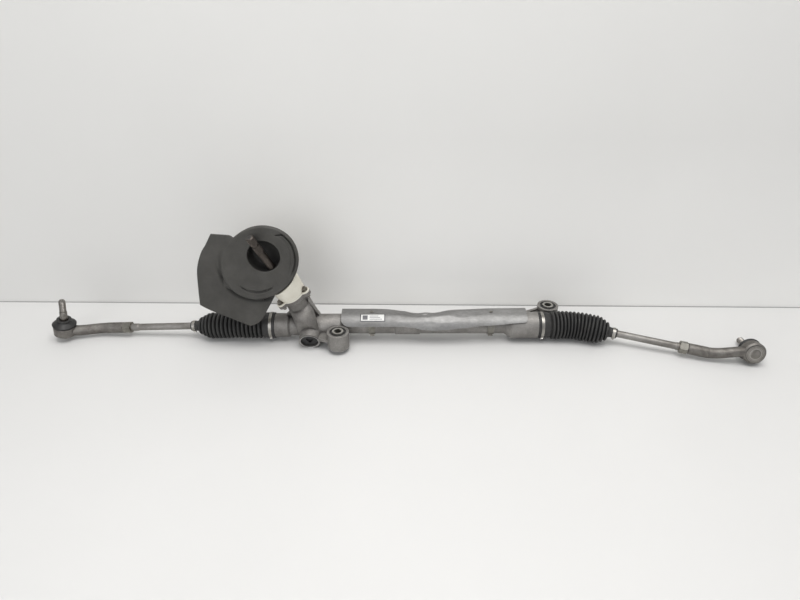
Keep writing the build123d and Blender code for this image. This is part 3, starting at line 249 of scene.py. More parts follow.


# %% [markdown]
# ## The finishes
# There is one for each material slot of the record. The casting is dull grey aluminium, a
# little brighter inside, where it is machined. The forgings and rods have gone slightly brown,
# and the clips and sleeves keep a worn zinc coat. Each line gives the two tones, the worn edge,
# the painted shade in the corners, the grain, the bump and the limits of the roughness.

# %% Mix the cast and machined metals
# tones of the painted shade in corners: a dark one and a browner one
DARK_SHADE = (0.035, 0.031, 0.027)
BROWN_SHADE = (0.105, 0.070, 0.045)
metal("cast_alloy", ((0.215, 0.204, 0.190), (0.335, 0.323, 0.306)), (0.54, 0.53, 0.51),
      (DARK_SHADE, 0.75), 420, 0.55, (0.50, 0.68), shine=0.75)
metal("cast_alloy_inner", ((0.42, 0.41, 0.40), (0.52, 0.51, 0.50)), (0.66, 0.65, 0.63),
      (DARK_SHADE, 0.5), 500, 0.2, (0.35, 0.5))
metal("rack_steel", ((0.36, 0.355, 0.35), (0.50, 0.495, 0.49)), (0.70, 0.70, 0.70),
      (DARK_SHADE, 0.6), 700, 0.08, (0.22, 0.34))
print(len(FINISH), "metals")

# %% [markdown]
# Turned, drawn and plated parts are smoother than castings. The painted shade in the corners of
# those that lie in the open is browner, and the long rods are drawn out into faint streaks.

# %% Mix the turned and plated metals
metal("plated_steel", ((0.195, 0.186, 0.162), (0.31, 0.300, 0.268)), (0.46, 0.45, 0.42),
      (BROWN_SHADE, 0.6), 520, 0.15, (0.34, 0.52), patch=70)
metal("bright_sleeve", ((0.40, 0.385, 0.35), (0.58, 0.565, 0.53)), (0.74, 0.73, 0.71),
      (DARK_SHADE, 0.7), 520, 0.15, (0.34, 0.50), patch=70)
metal("shaft_steel", ((0.086, 0.073, 0.064), (0.112, 0.098, 0.088)), (0.19, 0.17, 0.155),
      (DARK_SHADE, 0.5), 520, 0.06, (0.40, 0.50), patch=12)
metal("bearing_steel", ((0.50, 0.50, 0.50), (0.60, 0.60, 0.60)), (0.75, 0.75, 0.75),
      (DARK_SHADE, 0.4), 800, 0.05, (0.16, 0.26))
metal("spring_steel", ((0.14, 0.14, 0.145), (0.24, 0.24, 0.25)), (0.40, 0.40, 0.40),
      (DARK_SHADE, 0.6), 600, 0.1, (0.35, 0.5))
metal("rod_steel", ((0.19, 0.176, 0.158), (0.33, 0.318, 0.30)), (0.48, 0.47, 0.45),
      (BROWN_SHADE, 0.6), 480, 0.25, (0.42, 0.60), patch=45, squeeze=(0.35, 1.0, 1.0))
metal("forged_steel", ((0.155, 0.143, 0.129), (0.27, 0.257, 0.238)), (0.44, 0.43, 0.41),
      (DARK_SHADE, 0.7), 380, 0.5, (0.46, 0.64), patch=50)
metal("cap_steel", ((0.195, 0.182, 0.163), (0.32, 0.304, 0.28)), (0.48, 0.46, 0.43),
      (BROWN_SHADE, 0.6), 520, 0.2, (0.38, 0.55), patch=80)
metal("stud_steel", ((0.165, 0.152, 0.137), (0.30, 0.287, 0.267)), (0.52, 0.50, 0.47),
      (BROWN_SHADE, 0.65), 620, 0.15, (0.32, 0.5), patch=90)
metal("band_steel", ((0.29, 0.277, 0.25), (0.44, 0.425, 0.39)), (0.74, 0.73, 0.71),
      (DARK_SHADE, 0.7), 600, 0.1, (0.28, 0.45), patch=80)
metal("shield_metal", ((0.25, 0.247, 0.242), (0.33, 0.327, 0.320)), (0.46, 0.46, 0.45),
      ((0.18, 0.17, 0.16), 0.5), 300, 0.10, (0.48, 0.60), patch=22, shine=0.85,
      squeeze=(0.5, 1.0, 1.0))
print(len(FINISH), "metals in all")

# %% [markdown]
# The rubbers differ most in age: the seal has gone grey with dust, the boots are still black.
# Each line gives the two tones, the painted shade in the folds, the worn edge, the grain, the bump
# and the limits of the roughness.

# %% Mix the rubbers and plastics
moulded("black_plastic", ((0.020, 0.020, 0.021), (0.036, 0.035, 0.034)),
        (0.010, 0.010, 0.010), (0.06, 0.06, 0.06), 500, 0.2, (0.45, 0.62))
moulded("white_plastic", ((0.68, 0.66, 0.60), (0.78, 0.77, 0.72)),
        (0.42, 0.39, 0.33), (0.82, 0.81, 0.78), 500, 0.1, (0.35, 0.5))
moulded("cream_plastic", ((0.64, 0.61, 0.52), (0.76, 0.74, 0.65)),
        (0.34, 0.31, 0.25), (0.80, 0.79, 0.73), 380, 0.22, (0.42, 0.58), patch=24, reach=0.012)
moulded("bush_rubber", ((0.024, 0.023, 0.022), (0.050, 0.048, 0.045)),
        (0.008, 0.008, 0.008), (0.075, 0.072, 0.068), 420, 0.35, (0.62, 0.80), patch=70)
moulded("seal_rubber", ((0.030, 0.020, 0.016), (0.050, 0.035, 0.028)),
        (0.010, 0.008, 0.007), (0.08, 0.06, 0.05), 500, 0.2, (0.50, 0.66))
moulded("grey_rubber", ((0.037, 0.0355, 0.0315), (0.060, 0.0575, 0.0515)),
        (0.011, 0.011, 0.010), (0.080, 0.077, 0.071), 300, 0.35, (0.58, 0.76), patch=18,
        reach=0.010)
# painted shade: a darker rubber for the cup deep behind the seal's opening and for the shaft's centre hole
moulded("shade_rubber", ((0.019, 0.018, 0.017), (0.040, 0.038, 0.035)),
        (0.006, 0.006, 0.006), (0.050, 0.048, 0.045), 300, 0.35, (0.62, 0.80), reach=0.020)
moulded("black_rubber", ((0.011, 0.011, 0.011), (0.024, 0.023, 0.022)),
        (0.005, 0.005, 0.005), (0.046, 0.044, 0.042), 420, 0.25, (0.42, 0.60), patch=60)
moulded("bellows_rubber", ((0.015, 0.015, 0.015), (0.034, 0.033, 0.031)),
        (0.005, 0.005, 0.005), (0.062, 0.060, 0.057), 360, 0.3, (0.48, 0.66), patch=46,
        reach=0.005)
print(len(FINISH), "finishes in all")

# %% [markdown]
# The shield grows darker towards the left end, as painted shade from the seal, and the casting
# grows darker that way too. The finished colour is scaled along X, and the stains and edges stay
# as they are.

# %% Darken two finishes towards one end
def along_axis(tree, axis, start, end, low=0.0, high=1.0):
    """A value that goes from low to high between two places along an axis."""
    place = grow(tree, "ShaderNodeTexCoord").outputs["Object"]
    spot = grow(tree, "ShaderNodeSeparateXYZ", {"Vector": place}).outputs[axis]
    limits = {"Value": spot, "From Min": start, "From Max": end, "To Min": low, "To Max": high}
    return grow(tree, "ShaderNodeMapRange", limits).outputs[0]


def scale_colour(name, gain):
    """Multiply a finish's base colour by a socket of its own tree."""
    tree = FINISH[name].node_tree
    base = tree.nodes["Principled BSDF"].inputs["Base Color"]
    scaled = grow(tree, "ShaderNodeVectorMath",
                  {0: base.links[0].from_socket, "Scale": gain}, operation="SCALE")
    tree.links.new(scaled.outputs[0], base)


# painted shade on the shield, darker towards the left where the seal shades it; the casting is darkened the same
# way
for name, darkest_x, full_x, share in (("shield_metal", 0.02, 0.16, 0.80),
                                      ("cast_alloy", -0.080, -0.055, 0.86)):
    scale_colour(name, along_axis(FINISH[name].node_tree, "X", darkest_x, full_x, share))
    print(name, "keeps", share, "of its brightness on the left")

# %% [markdown]
# The solids arrive as flat triangles. Shading them smooth, with a crease kept wherever two faces
# meet at more than 32 degrees, gives round parts their roundness back and leaves edges crisp.
# Only shading and material change: no point of a solid is moved.

# %% Dress the solids
CREASE = radians(32)
RUBBED = ("left_bush_sleeve", "right_bush_sleeve")     # kept bright by the bolts through them


def shade(mesh, crease=CREASE):
    mesh.polygons.foreach_set("use_smooth", [True] * len(mesh.polygons))
    mesh.set_sharp_from_angle(angle=crease)


for part in frame["record"]["subparts"]:
    solid = frame["nodes"][part["node"]]
    solid.data.materials.clear()
    finish = "bright_sleeve" if part["node"] in RUBBED else part["material_slot"]
    solid.data.materials.append(FINISH[finish])
    shade(solid.data)
print(len(frame["nodes"]), "solids dressed")


# %% [markdown]
# ## Tools for the shapes
# A mesh is a list of points and a list of the faces between them. Nearly all the pieces below
# are rows of points, laid side by side, so one function weaves the faces of every one of them.

# %% Make a mesh and weave its faces
def place(name, data):
    """An object of this data, in the scene."""
    made = bpy.data.objects.new(name, data)
    bpy.context.scene.collection.objects.link(made)
    return made


def add_mesh(name, points, faces, finish, crease=CREASE):
    """A mesh with its doubled points merged and its faces turned outwards."""
    mesh = bpy.data.meshes.new(name)
    mesh.from_pydata([tuple(p) for p in points], [], faces)
    work = bmesh.new()
    work.from_mesh(mesh)
    bmesh.ops.remove_doubles(work, verts=work.verts, dist=1e-6)
    bmesh.ops.recalc_face_normals(work, faces=work.faces)
    work.to_mesh(mesh)
    work.free()
    mesh.materials.append(FINISH[finish])
    shade(mesh, crease)
    return place(name, mesh)


def add_piece(name, points, faces, finish, crease=CREASE):
    """A mesh with its finish in its one material slot."""
    piece = add_mesh(name, points, faces, finish, crease)
    return piece


def quads(rows, steps, closed=True, ring=True):
    """Faces between rows: closed joins the last row to the first, ring each row's two ends."""
    faces = []
    for i in range(rows if closed else rows - 1):
        here, there = i * steps, (i + 1) % rows * steps
        for k in range(steps if ring else steps - 1):
            n = (k + 1) % steps
            faces.append((here + k, here + n, there + n, there + k))
    return faces


# %% [markdown]
# Most of the rubber parts are round, so the main tool is a lathe: a profile of (radius, height)
# points, swept round an axis. A screw modifier could do that for straight pieces. This lathe
# takes a centre and a direction for every ring, so that it also turns a boot along its bent
# middle line, and it can roughen or move each point on the way.

# %% A lathe for straight and bent parts
UPRIGHT = 0.8                                     # a direction with more Z than this is upright


def square_to(way):
    """Two unit vectors across way, the first towards the top, or the rear if way is upright."""
    hint = REAR if abs(way.z) > UPRIGHT else UP
    first = (hint - way * hint.dot(way)).normalized()
    return first, way.cross(first)


def lathe(name, rings, finish, slot=None, steps=96, wobble=None, shift=None, capped=False,
          crease=CREASE):
    """rings: (centre, way, radius). The last joins the first, unless both ends are capped.
    wobble(ring, turn) adds a share of the radius, and shift(point) moves a point."""
    points = []
    for index, (centre, way, radius) in enumerate(rings):
        across, over = square_to(way)
        for k in range(steps):
            turn = 2 * pi * k / steps
            r = radius * (1 + wobble(index, turn)) if wobble else radius
            point = centre + across * (r * cos(turn)) + over * (r * sin(turn))
            points.append(shift(point) if shift else point)
    faces = quads(len(rings), steps, closed=not capped)
    if capped:
        last = (len(rings) - 1) * steps
        faces += [tuple(range(steps)), tuple(range(last, last + steps))]
    return add_piece(name, points, faces, finish, crease)


def turned(name, at, way, profile, finish, **settings):
    """A straight piece, from a profile of (radius, height) in millimetres."""
    rings = [(at + way * (z * MM), way, r * MM) for r, z in profile]
    return lathe(name, rings, finish, **settings)


# %% [markdown]
# ## The bellows
# A steering boot is a blow-moulded rubber tube with sixteen sharp folds. It is clamped on
# the housing at one end and on the tie rod at the other, and its middle line runs along the
# rack to the ball joint and then bends into the rod's direction. Its crests are rounded and its
# valleys are tight, and no two folds are quite alike.

# %% Measure where the boots start and end
HOUSING_END = {"left": -0.134, "right": 0.382}    # where each boot is pushed on, along X
BOOT_NECK = 0.070                                 # small end, beyond the ball
BOOT_BEND = 0.026                                 # the middle line bends this near the ball
TO_BALL = {side: abs(BALL[side].x - HOUSING_END[side]) for side in SIDES}


def boot_spine(side, s):
    """Point and direction on the boot's middle line, s metres from the housing's end."""
    straight = Vector((OUT[side], 0, 0))
    to_ball = TO_BALL[side]
    if s <= to_ball - BOOT_BEND:
        return Vector((HOUSING_END[side] + OUT[side] * s, RACK_LINE.y, RACK_LINE.z)), straight
    if s >= to_ball + BOOT_BEND:
        return BALL[side] + ROD_WAY[side] * (s - to_ball), ROD_WAY[side]
    share = (s - to_ball + BOOT_BEND) / (2 * BOOT_BEND)
    start = BALL[side] - straight * BOOT_BEND
    end = BALL[side] + ROD_WAY[side] * BOOT_BEND
    point = start * (1 - share) ** 2 + BALL[side] * (2 * share * (1 - share)) + end * share ** 2
    return point, (straight * (1 - share) + ROD_WAY[side] * share).normalized()


for side in SIDES:
    print(side, "ball is", round(TO_BALL[side] / MM, 1), "mm beyond the housing's end")

# %% [markdown]
# The folds could be torus rings or a wave texture that displaces a tube. Here the outline itself
# is a wave: the size of a sine stays sharp in the valleys, and a power of it rounds the crests.
# The last folds get smaller, towards the neck on the rod.

# %% Shape the folds
CREST = {"left": 0.0245, "right": 0.0262}         # radius over the folds
FOLDS, FOLD_ROWS, FOLD_DEEP = 16, 10, 0.0048
TAPER, TAPER_FROM = 0.011, 0.78                   # how much smaller the last fold is, from where
CUFF_R, CUFF_LONG, CUFF_PAST = 0.0237, 0.015, 0.0065     # on the housing, and past its end
NECK_R, NECK_PAST = 0.0092, 0.005


def fold_radius(side, u):
    """Outside radius at u, from 0 at the first fold to 1 at the last."""
    narrow = max(0.0, u - TAPER_FROM) / (1 - TAPER_FROM)
    crest = CREST[side] - TAPER * narrow ** 1.5
    wave = abs(sin(pi * FOLDS * u))
    uneven = 0.0005 * noise.noise(Vector((FOLDS * u * 0.9, 3.1, 7.7)))
    return crest - FOLD_DEEP * (1 - wave ** 0.75) + uneven


def boot_profile(side):
    """(s, outer radius) along the whole boot: the cuff, the folds and the neck."""
    total = TO_BALL[side] + BOOT_NECK
    first, last = CUFF_PAST + 0.003, total - 0.010
    cuff = [(-CUFF_LONG, CUFF_R - 0.0008), (-CUFF_LONG + 0.0008, CUFF_R),
            (CUFF_PAST - 0.001, CUFF_R), (CUFF_PAST, CUFF_R - 0.0006)]
    count = FOLDS * FOLD_ROWS
    shares = [k / count for k in range(count + 1)]
    folds = [(first + (last - first) * u, fold_radius(side, u)) for u in shares]
    neck = [(total - 0.0075, NECK_R + 0.0004), (total - 0.006, NECK_R),
            (total + NECK_PAST - 0.001, NECK_R), (total + NECK_PAST, NECK_R - 0.0008)]
    return cuff + folds + neck


def cut_out(line, a, b):
    """The stretch of a profile from a to b, with new points where it is cut."""
    def point_at(s):
        pairs = zip(line, line[1:])
        (s0, r0), (s1, r1) = next(pair for pair in pairs if pair[0][0] <= s <= pair[1][0])
        return s, r0 + (r1 - r0) * (s - s0) / (s1 - s0)

    return [point_at(a)] + [(s, r) for s, r in line if a < s < b] + [point_at(b)]


for side in SIDES:
    print(side, "boot:", len(boot_profile(side)), "rings,", FOLDS, "folds")

# %% [markdown]
# When the rack travels, the boot is squeezed or stretched; when the rod swings, its far end
# bends. Two hinges make the ball joint: one joins the rack and the ball's seat, the other the
# seat and the rod. Each boot is cut twice, a little beyond the ball, into a long near piece, a
# short middle one and a far one that ends on the rod. A piece can bend across one joint only,
# so each boot is cut twice, a little beyond the ball.

# %% Build the six boot pieces
BOOT_WALL = 0.0012
CUTS_PAST_BALL = (0.012, 0.020)
STIFF_NECK = 0.022                                # the last stretch moves with the rod alone


def boot_piece(name, side, line):
    shell = line + [(s, r - BOOT_WALL) for s, r in reversed(line)]

    def wobble(ring, turn):
        spot = Vector((cos(turn) * 1.3, sin(turn) * 1.3, shell[ring][0] * 120))
        return 0.006 * noise.noise(spot)

    rings = [(*boot_spine(side, s), r) for s, r in shell]
    piece = lathe(name, rings, "bellows_rubber", steps=88, wobble=wobble)
    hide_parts(side + "_bellows")
    return piece


for side in SIDES:
    line = boot_profile(side)
    cut_1, cut_2 = (TO_BALL[side] + past for past in CUTS_PAST_BALL)
    end = TO_BALL[side] + BOOT_NECK + NECK_PAST
    near = boot_piece(side + "_boot_near", side, cut_out(line, -CUFF_LONG, cut_1))
    middle = boot_piece(side + "_boot_middle", side, cut_out(line, cut_1, cut_2))
    far = boot_piece(side + "_boot_far", side, cut_out(line, cut_2, end))
    at_housing, at_1, at_2, at_rod = (
        boot_spine(side, s)[0] for s in (0.003, cut_1, cut_2, end - STIFF_NECK))
    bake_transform(near)
    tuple(at_housing)
    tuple(at_1)
    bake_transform(middle)
    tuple(at_1)
    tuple(at_2)
    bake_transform(far)
    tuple(at_2)
    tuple(at_rod)
    print(side, "boot is", round((end + CUFF_LONG) / MM), "mm long, in three pieces")

# %% [markdown]
# ## The dust boots of the outer ball joints
# A small fat rubber bag, held on the socket by a ring and closed by a lip round the stud. It
# bends between the rod, which carries the socket, and the stud's side of the joint. It is turned
# like the bellows: its low rings lie square to the socket, its top rings square to the stud.

# %% Build the dust boots
BAG_OUTSIDE = [(18.6, 4.7), (19.0, 5.2), (19.0, 6.0), (18.6, 6.6), (19.4, 7.2), (20.4, 7.9),
               (20.5, 8.5), (19.8, 9.2), (16.4, 11.6), (13.0, 14.0), (11.4, 15.6), (11.1, 16.4),
               (12.0, 17.1), (12.7, 17.5), (12.7, 18.7), (12.0, 19.0)]
BAG_INSIDE = [(7.8, 19.0), (7.8, 16.2), (10.2, 14.6), (15.4, 11.2), (18.6, 8.9), (17.2, 7.2),
              (16.9, 4.7)]
BAG_LEANS = (8.5, 13.5)                           # between these heights it leans to the stud
BAG_BENDS = (0.0075, 0.0140)                      # and between these it bends in use


def dust_boot(side):
    head_way = (HEAD[side] - middle_of(side + "_end_cap")).normalized()
    rings = []
    for r, z in BAG_OUTSIDE + BAG_INSIDE:
        share = min(1.0, max(0.0, (z - BAG_LEANS[0]) / (BAG_LEANS[1] - BAG_LEANS[0])))
        way = (head_way * (1 - share) + STUD_WAY[side] * share).normalized()
        rings.append((HEAD[side] + way * (z * MM), way, r * MM))
    piece = lathe(side + "_dust_bag", rings, "black_rubber", steps=80)
    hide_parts(side + "_dust_boot")
    start, end = (HEAD[side] + head_way * height for height in BAG_BENDS)
    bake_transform(piece)
    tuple(start)
    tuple(end)
    return piece


for side in SIDES:
    print("made", dust_boot(side).name)

# %% [markdown]
# ## The studs
# Each ball stud ends in a thread for the castle nut. The CAD solid has a plain cylinder there,
# so the stud is turned again with a real thread: a ridge that climbs one pitch per turn. A bump
# map would be cheaper, but it leaves the outline smooth.

# %% Turn the studs with their threads
STUD_BALL_R, BALL_TOP = 11.0, 0.95                # it ends this far up, in radians
SHANK = [(6.0, 9.4), (6.0, 15.5), (6.6, 17.6), (6.65, 18.2), (6.4, 34.8), (6.1, 35.2),
         (4.8, 35.6), (4.8, 37.0)]
TIP = [(5.0, 58.6), (4.4, 60.0), (1.9, 60.0), (0.3, 58.9)]
PITCH, THREAD_R, THREAD_DEEP = 1.5, 5.9, 0.9
THREAD_FROM, THREAD_ROWS, THREAD_ROW = 37.2, 84, 0.25
RIDGE_FROM, RIDGE_TO = 37.0, 58.8
RUN_OUT, RUN_OUT_DEEP = 1.2, 0.25                 # the ridge dies away at both ends


def stud_profile():
    tilts = [-pi / 2 + (pi / 2 + BALL_TOP) * k / 14 for k in range(15)]
    ball = [(max(STUD_BALL_R * cos(tilt), 0.02), STUD_BALL_R * sin(tilt)) for tilt in tilts]
    thread = [(THREAD_R, THREAD_FROM + THREAD_ROW * k) for k in range(THREAD_ROWS)]
    return ball + SHANK + thread + TIP


def stud(side):
    profile = stud_profile()

    def thread(ring, turn):
        z = profile[ring][1]
        if not THREAD_FROM <= z < TIP[0][1]:
            return 0.0
        phase = (z / PITCH - turn / (2 * pi)) % 1.0
        fade = min(1.0, (z - RIDGE_FROM) / RUN_OUT, (RIDGE_TO - z) / RUN_OUT)
        deep = THREAD_DEEP * abs(2 * phase - 1) * fade + RUN_OUT_DEEP * (1 - fade)
        return -deep / THREAD_R

    piece = turned(side + "_stud_turned", HEAD[side], STUD_WAY[side], profile, "stud_steel",
                   steps=48, wobble=thread, capped=True, crease=radians(40))
    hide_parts(side + "_ball_stud")
    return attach(piece, side + "_stud")


for side in SIDES:
    print("made", stud(side).name, "with", round(THREAD_ROWS * THREAD_ROW / PITCH), "threads")

# %% [markdown]
# The pressed cap that closes each ball joint from below has a shallow trough and a low round
# button in its middle. It is a thin turned skin that lies on the plain cap, so the solid's own
# face is measured first.

# %% Press the joint caps
CAP_PROFILE = [(15.2, 0.04), (14.6, 0.30), (13.4, 0.34), (12.4, 0.12), (9.4, 0.10), (8.4, 0.40),
               (7.8, 0.85), (6.8, 1.05), (0.3, 1.15), (0.3, 0.02), (8.0, 0.02)]


def pressed_cap(side):
    way = (middle_of(side + "_end_cap") - HEAD[side]).normalized()
    face = max((spot - HEAD[side]).dot(way) for spot in spots_of(side + "_end_cap"))
    piece = turned(side + "_cap_pressed", HEAD[side] + way * face, way, CAP_PROFILE,
                   "cap_steel", steps=72)
    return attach(piece, side + "_rod")


for side in SIDES:
    print("made", pressed_cap(side).name)

# %% [markdown]
# ## The mounting bushes
# A rubber ring bonded to a steel sleeve. The moulding has a shallow groove near its edge and a
# small roll against the sleeve, on both faces. Its underside is the same profile turned over.

# %% Mould the bush rubbers
BUSH_FACE = [(10.0, -0.3), (10.6, 0.0), (11.6, -0.1), (12.2, -1.4), (13.2, -1.5), (13.9, -0.3),
             (14.8, -0.2), (15.5, -0.9)]


def bush_rubber(side):
    node = side + "_bush_rubber"
    low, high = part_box(node)
    half = (high.z - low.z) / 2 / MM
    top = [(r, half + z) for r, z in BUSH_FACE]
    profile = top + [(r, -z) for r, z in reversed(top)]
    piece = turned(side + "_bush_moulded", middle_of(node), UP, profile, "bush_rubber")
    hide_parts(node)
    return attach(piece, "housing")


for side in SIDES:
    print("made", bush_rubber(side).name)

# %% [markdown]
# ## The dash seal
# A thick moulded rubber plate closes the hole in the bulkhead round the steering shaft. A round
# disc stands proud of it, with a rolled rim, a step inside the rim and a soft slope to the
# opening, and a thin bag reaches from the opening down round the shaft. It all lies in one
# plane that leans back a little, so places on it are given in that plane, in millimetres.

# %% Lay out the seal's plane
SEAL_AT = Vector((-0.117, 0.003, 0.1645))         # middle of the opening, on the front face
SEAL_LEAN = radians(5)
SEAL_WAY = Vector((0, -cos(SEAL_LEAN), sin(SEAL_LEAN)))
SEAL_X = Vector((1, 0, 0))
SEAL_Y = SEAL_WAY.cross(SEAL_X)


def on_seal(x, y, z=0.0):
    return SEAL_AT + (SEAL_X * x + SEAL_Y * y + SEAL_WAY * z) * MM


print("the seal faces", tuple(round(v, 3) for v in SEAL_WAY))

# %% [markdown]
# The plate's edge is given by a few corners, with a soft curve through those at the bottom and on
# the side. A Bezier curve object could hold it, but here the points are needed as numbers.

# %% Draw the plate's outline
SIDE_EDGE = [(-122.5, -94.5), (-121.0, -64.8), (-117.6, -27.0), (-107.8, 1.3), (-96.8, 18.4),
             (-85.7, 37.4)]
LOW_EDGE = [(11.0, -76.5), (-3.7, -101.9), (-18.4, -125.8), (-34.3, -135.0), (-44.1, -133.9),
            (-58.8, -126.9), (-102.9, -105.8), (-122.5, -94.5)]
TOP_EDGE = [(-85.7, 37.4), (-50.2, 34.6), (-30.0, 20.0)]


def smooth_run(points, per=14):
    """A Catmull-Rom curve through the points."""
    ends = [points[0]] + points + [points[-1]]
    run = []
    for a, b, c, d in zip(ends, ends[1:], ends[2:], ends[3:]):
        for k in range(per):
            t = k / per
            run.append(tuple(
                0.5 * (2 * q + (r - p) * t + (2 * p - 5 * q + 4 * r - s) * t * t
                       + (3 * q - p - 3 * r + s) * t ** 3)
                for p, q, r, s in zip(a, b, c, d)))
    run.append(points[-1])
    return run


PLATE_EDGE = smooth_run(LOW_EDGE) + smooth_run(SIDE_EDGE)[1:] + TOP_EDGE[1:]
print("the plate's edge has", len(PLATE_EDGE), "points")

# %% [markdown]
# The plate and its raised disc are one moulding, so they are one surface. It is laid out in polar
# rings round the disc's middle: from the lip of the opening, over the disc, down its edge and out
# over the plate. For that, both edges are wanted as distances from the disc's middle.

# %% Measure how far the disc and the plate reach
DISC_AT = (-8.0, -13.5)
DISC_LONG, DISC_SHORT, DISC_TURN = 72.0, 60.5, radians(47)        # a slightly oval disc


def disc_reach(turn):
    """Distance from the disc's middle to its edge."""
    return 1 / hypot(cos(turn - DISC_TURN) / DISC_LONG, sin(turn - DISC_TURN) / DISC_SHORT)


PLATE_RUN = [(x - DISC_AT[0], y - DISC_AT[1]) for x, y in PLATE_EDGE]


def plate_reach(turn):
    """Distance from the disc's middle to the plate's edge, or 0 where there is no plate."""
    across, up = cos(turn), sin(turn)
    for (x0, y0), (x1, y1) in zip(PLATE_RUN, PLATE_RUN[1:]):
        side_0, side_1 = across * y0 - up * x0, across * y1 - up * x1
        if side_0 * side_1 <= 0 and side_0 != side_1:
            t = side_0 / (side_0 - side_1)
            far = (x0 + (x1 - x0) * t) * across + (y0 + (y1 - y0) * t) * up
            if far > 0:
                return far
    return 0.0


print("to the left the disc reaches", round(disc_reach(pi), 1), "mm and the plate",
      round(plate_reach(pi), 1), "mm")

# %% [markdown]
# The moulding's height is a function of the place. Sculpting could shape it too, but a number is
# easier to change than a stroke. Three small shapes are enough: an eased step for a ledge, a
# bell curve for a roll or a hollow, and a groove that follows a run of points.

# %% Steps, bells and grooves
def eased(a, b, v):
    """A soft step, from 0 at a to 1 at b."""
    t = min(1.0, max(0.0, (v - a) / (b - a)))
    return t * t * (3 - 2 * t)


def bell(v, middle, wide):
    return exp(-((v - middle) / wide) ** 2)


def near_turn(turn, at, full, gone):
    """1 within some degrees of a direction, and 0 beyond some more."""
    apart = abs((degrees(turn) - at + 180) % 360 - 180)
    return 1 - eased(full, gone, apart)


def line_depth(x, y, run, wide, deep):
    """A groove along a run of points, which fades out at both ends."""
    near, k = min((hypot(x - gx, y - gy), k) for k, (gx, gy) in enumerate(run))
    middle = sin(pi * (k + 0.5) / len(run))
    side = eased(wide * (0.3 + 0.3 * middle), wide * (0.8 + middle), near)
    return deep * middle ** 0.5 * (1 - side)


print("halfway up a step from 0 to 10:", eased(0, 10, 5))

# %% [markdown]
# On the real seal the disc's step is soft on the upper left and undercut at the bottom, and on
# the right the rim is a free roll. A curved groove lies below the opening, and a short crease
# crosses the rim. Each of them is one term of the height, faded in by its direction.

# %% Give the moulding its height
DISC_RISE = 7.5
GROOVE = smooth_run([(-38.5, -41.0), (-29.0, -48.0), (-18.0, -51.8), (-5.0, -52.2),
                     (6.0, -49.8), (15.0, -45.0)])
FOLD = [(31.0 + 1.4 * k, 51.0 + 0.1 * k) for k in range(12)]


def seal_height(turn, r):
    """Height over the seal's front plane, in millimetres."""
    x, y = r * cos(turn), r * sin(turn)
    past = r - disc_reach(turn)                   # distance beyond the disc's edge
    soft = 3.0 + 8.0 * near_turn(turn, 160, 25, 60)       # a soft step on the upper left
    low = near_turn(turn, 245, 50, 75)                    # an undercut one at the bottom
    free = near_turn(turn, 16, 28, 46)                    # a free rolled rim on the right
    z = -DISC_RISE * eased(-1.5, soft - 1.5, past)
    z -= 0.9 * eased(4.0, 30.0, r) * (1 - eased(40.0, 60.0, r))       # a slightly dished disc
    z += low * (1.1 * bell(past, -2.5, 2.2) - 4.2 * bell(past, 4.2, 3.7))
    z += free * (0.9 * bell(past, -2.0, 1.9) - 2.8 * bell(past, -5.2, 1.3)
                 - 1.1 * bell(past, -10.5, 1.8))
    z -= line_depth(x, y, GROOVE, 1.7, 3.6) + line_depth(x, y, FOLD, 1.1, 3.0)
    fine, wide = Vector((x / 24, y / 24, 0.3)), Vector((x / 60, y / 60, 4.3))
    rough = 0.7 * noise.noise(fine) + 1.2 * noise.noise(wide)
    return z + rough * eased(30.0, 50.0, r)


print("the disc stands", round(seal_height(pi, 30.0) - seal_height(pi, 100.0), 1),
      "mm proud of the plate")

# %% [markdown]
# Each direction from the disc's middle gets one column of points, which runs out over the front
# and comes back underneath, so that the moulding is a closed body with a real thickness.

# %% Mould the plate with its disc
OPENING_R = 27.5
SEAL_THICK = 2.6
SEAL_STEPS = 420
BRIM = 3.0                                        # the step starts this far inside the edge
FLAT_FROM = 10.0                                  # and is over this far outside it


def seal_column(turn):
    """(place from the disc's middle, height) along one direction."""
    way = Vector((cos(turn), sin(turn)))
    reach = disc_reach(turn)
    edge = max(reach, plate_reach(turn))
    lip = way * OPENING_R - Vector(DISC_AT)
    column = [(lip * 0.995, -3.2), (lip, -1.2), (lip + way * 0.5, -0.5), (lip + way * 1.6, -0.1)]
    start, brim = lip + way * BRIM, way * (reach - BRIM)
    flat = max(0.0, edge - reach - FLAT_FROM)
    spots = [start.lerp(brim, j / 40) for j in range(40)]                     # over the disc
    spots += [way * min(edge, reach - BRIM + j) for j in range(14)]           # down its edge
    spots += [way * min(edge, reach + FLAT_FROM + flat * j / 14) for j in range(1, 15)]
    for spot in spots:
        fall = 0.9 * eased(edge - 1.0, edge, spot.length)                     # a rounded edge
        column.append((spot, seal_height(turn, spot.length) - fall))
    rim_z = column[-1][1]
    column += [(way * (edge + 0.35), rim_z - 0.8), (way * edge, rim_z - SEAL_THICK + 0.7)]
    for j in range(1, 9):                                                     # back underneath
        spot = (way * edge).lerp(lip, j / 9)
        column.append((spot, min(seal_height(turn, spot.length) - SEAL_THICK, -3.2)))
    return column


def seal_moulding():
    columns = [seal_column(2 * pi * k / SEAL_STEPS) for k in range(SEAL_STEPS)]
    points = [on_seal(DISC_AT[0] + spot.x, DISC_AT[1] + spot.y, z)
              for column in columns for spot, z in column]
    piece = add_piece("seal_moulding", points, quads(SEAL_STEPS, len(columns[0])),
                      "grey_rubber", crease=radians(50))
    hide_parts("dash_seal")
    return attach(piece, "housing")


print("seal:", len(seal_moulding().data.polygons), "faces")

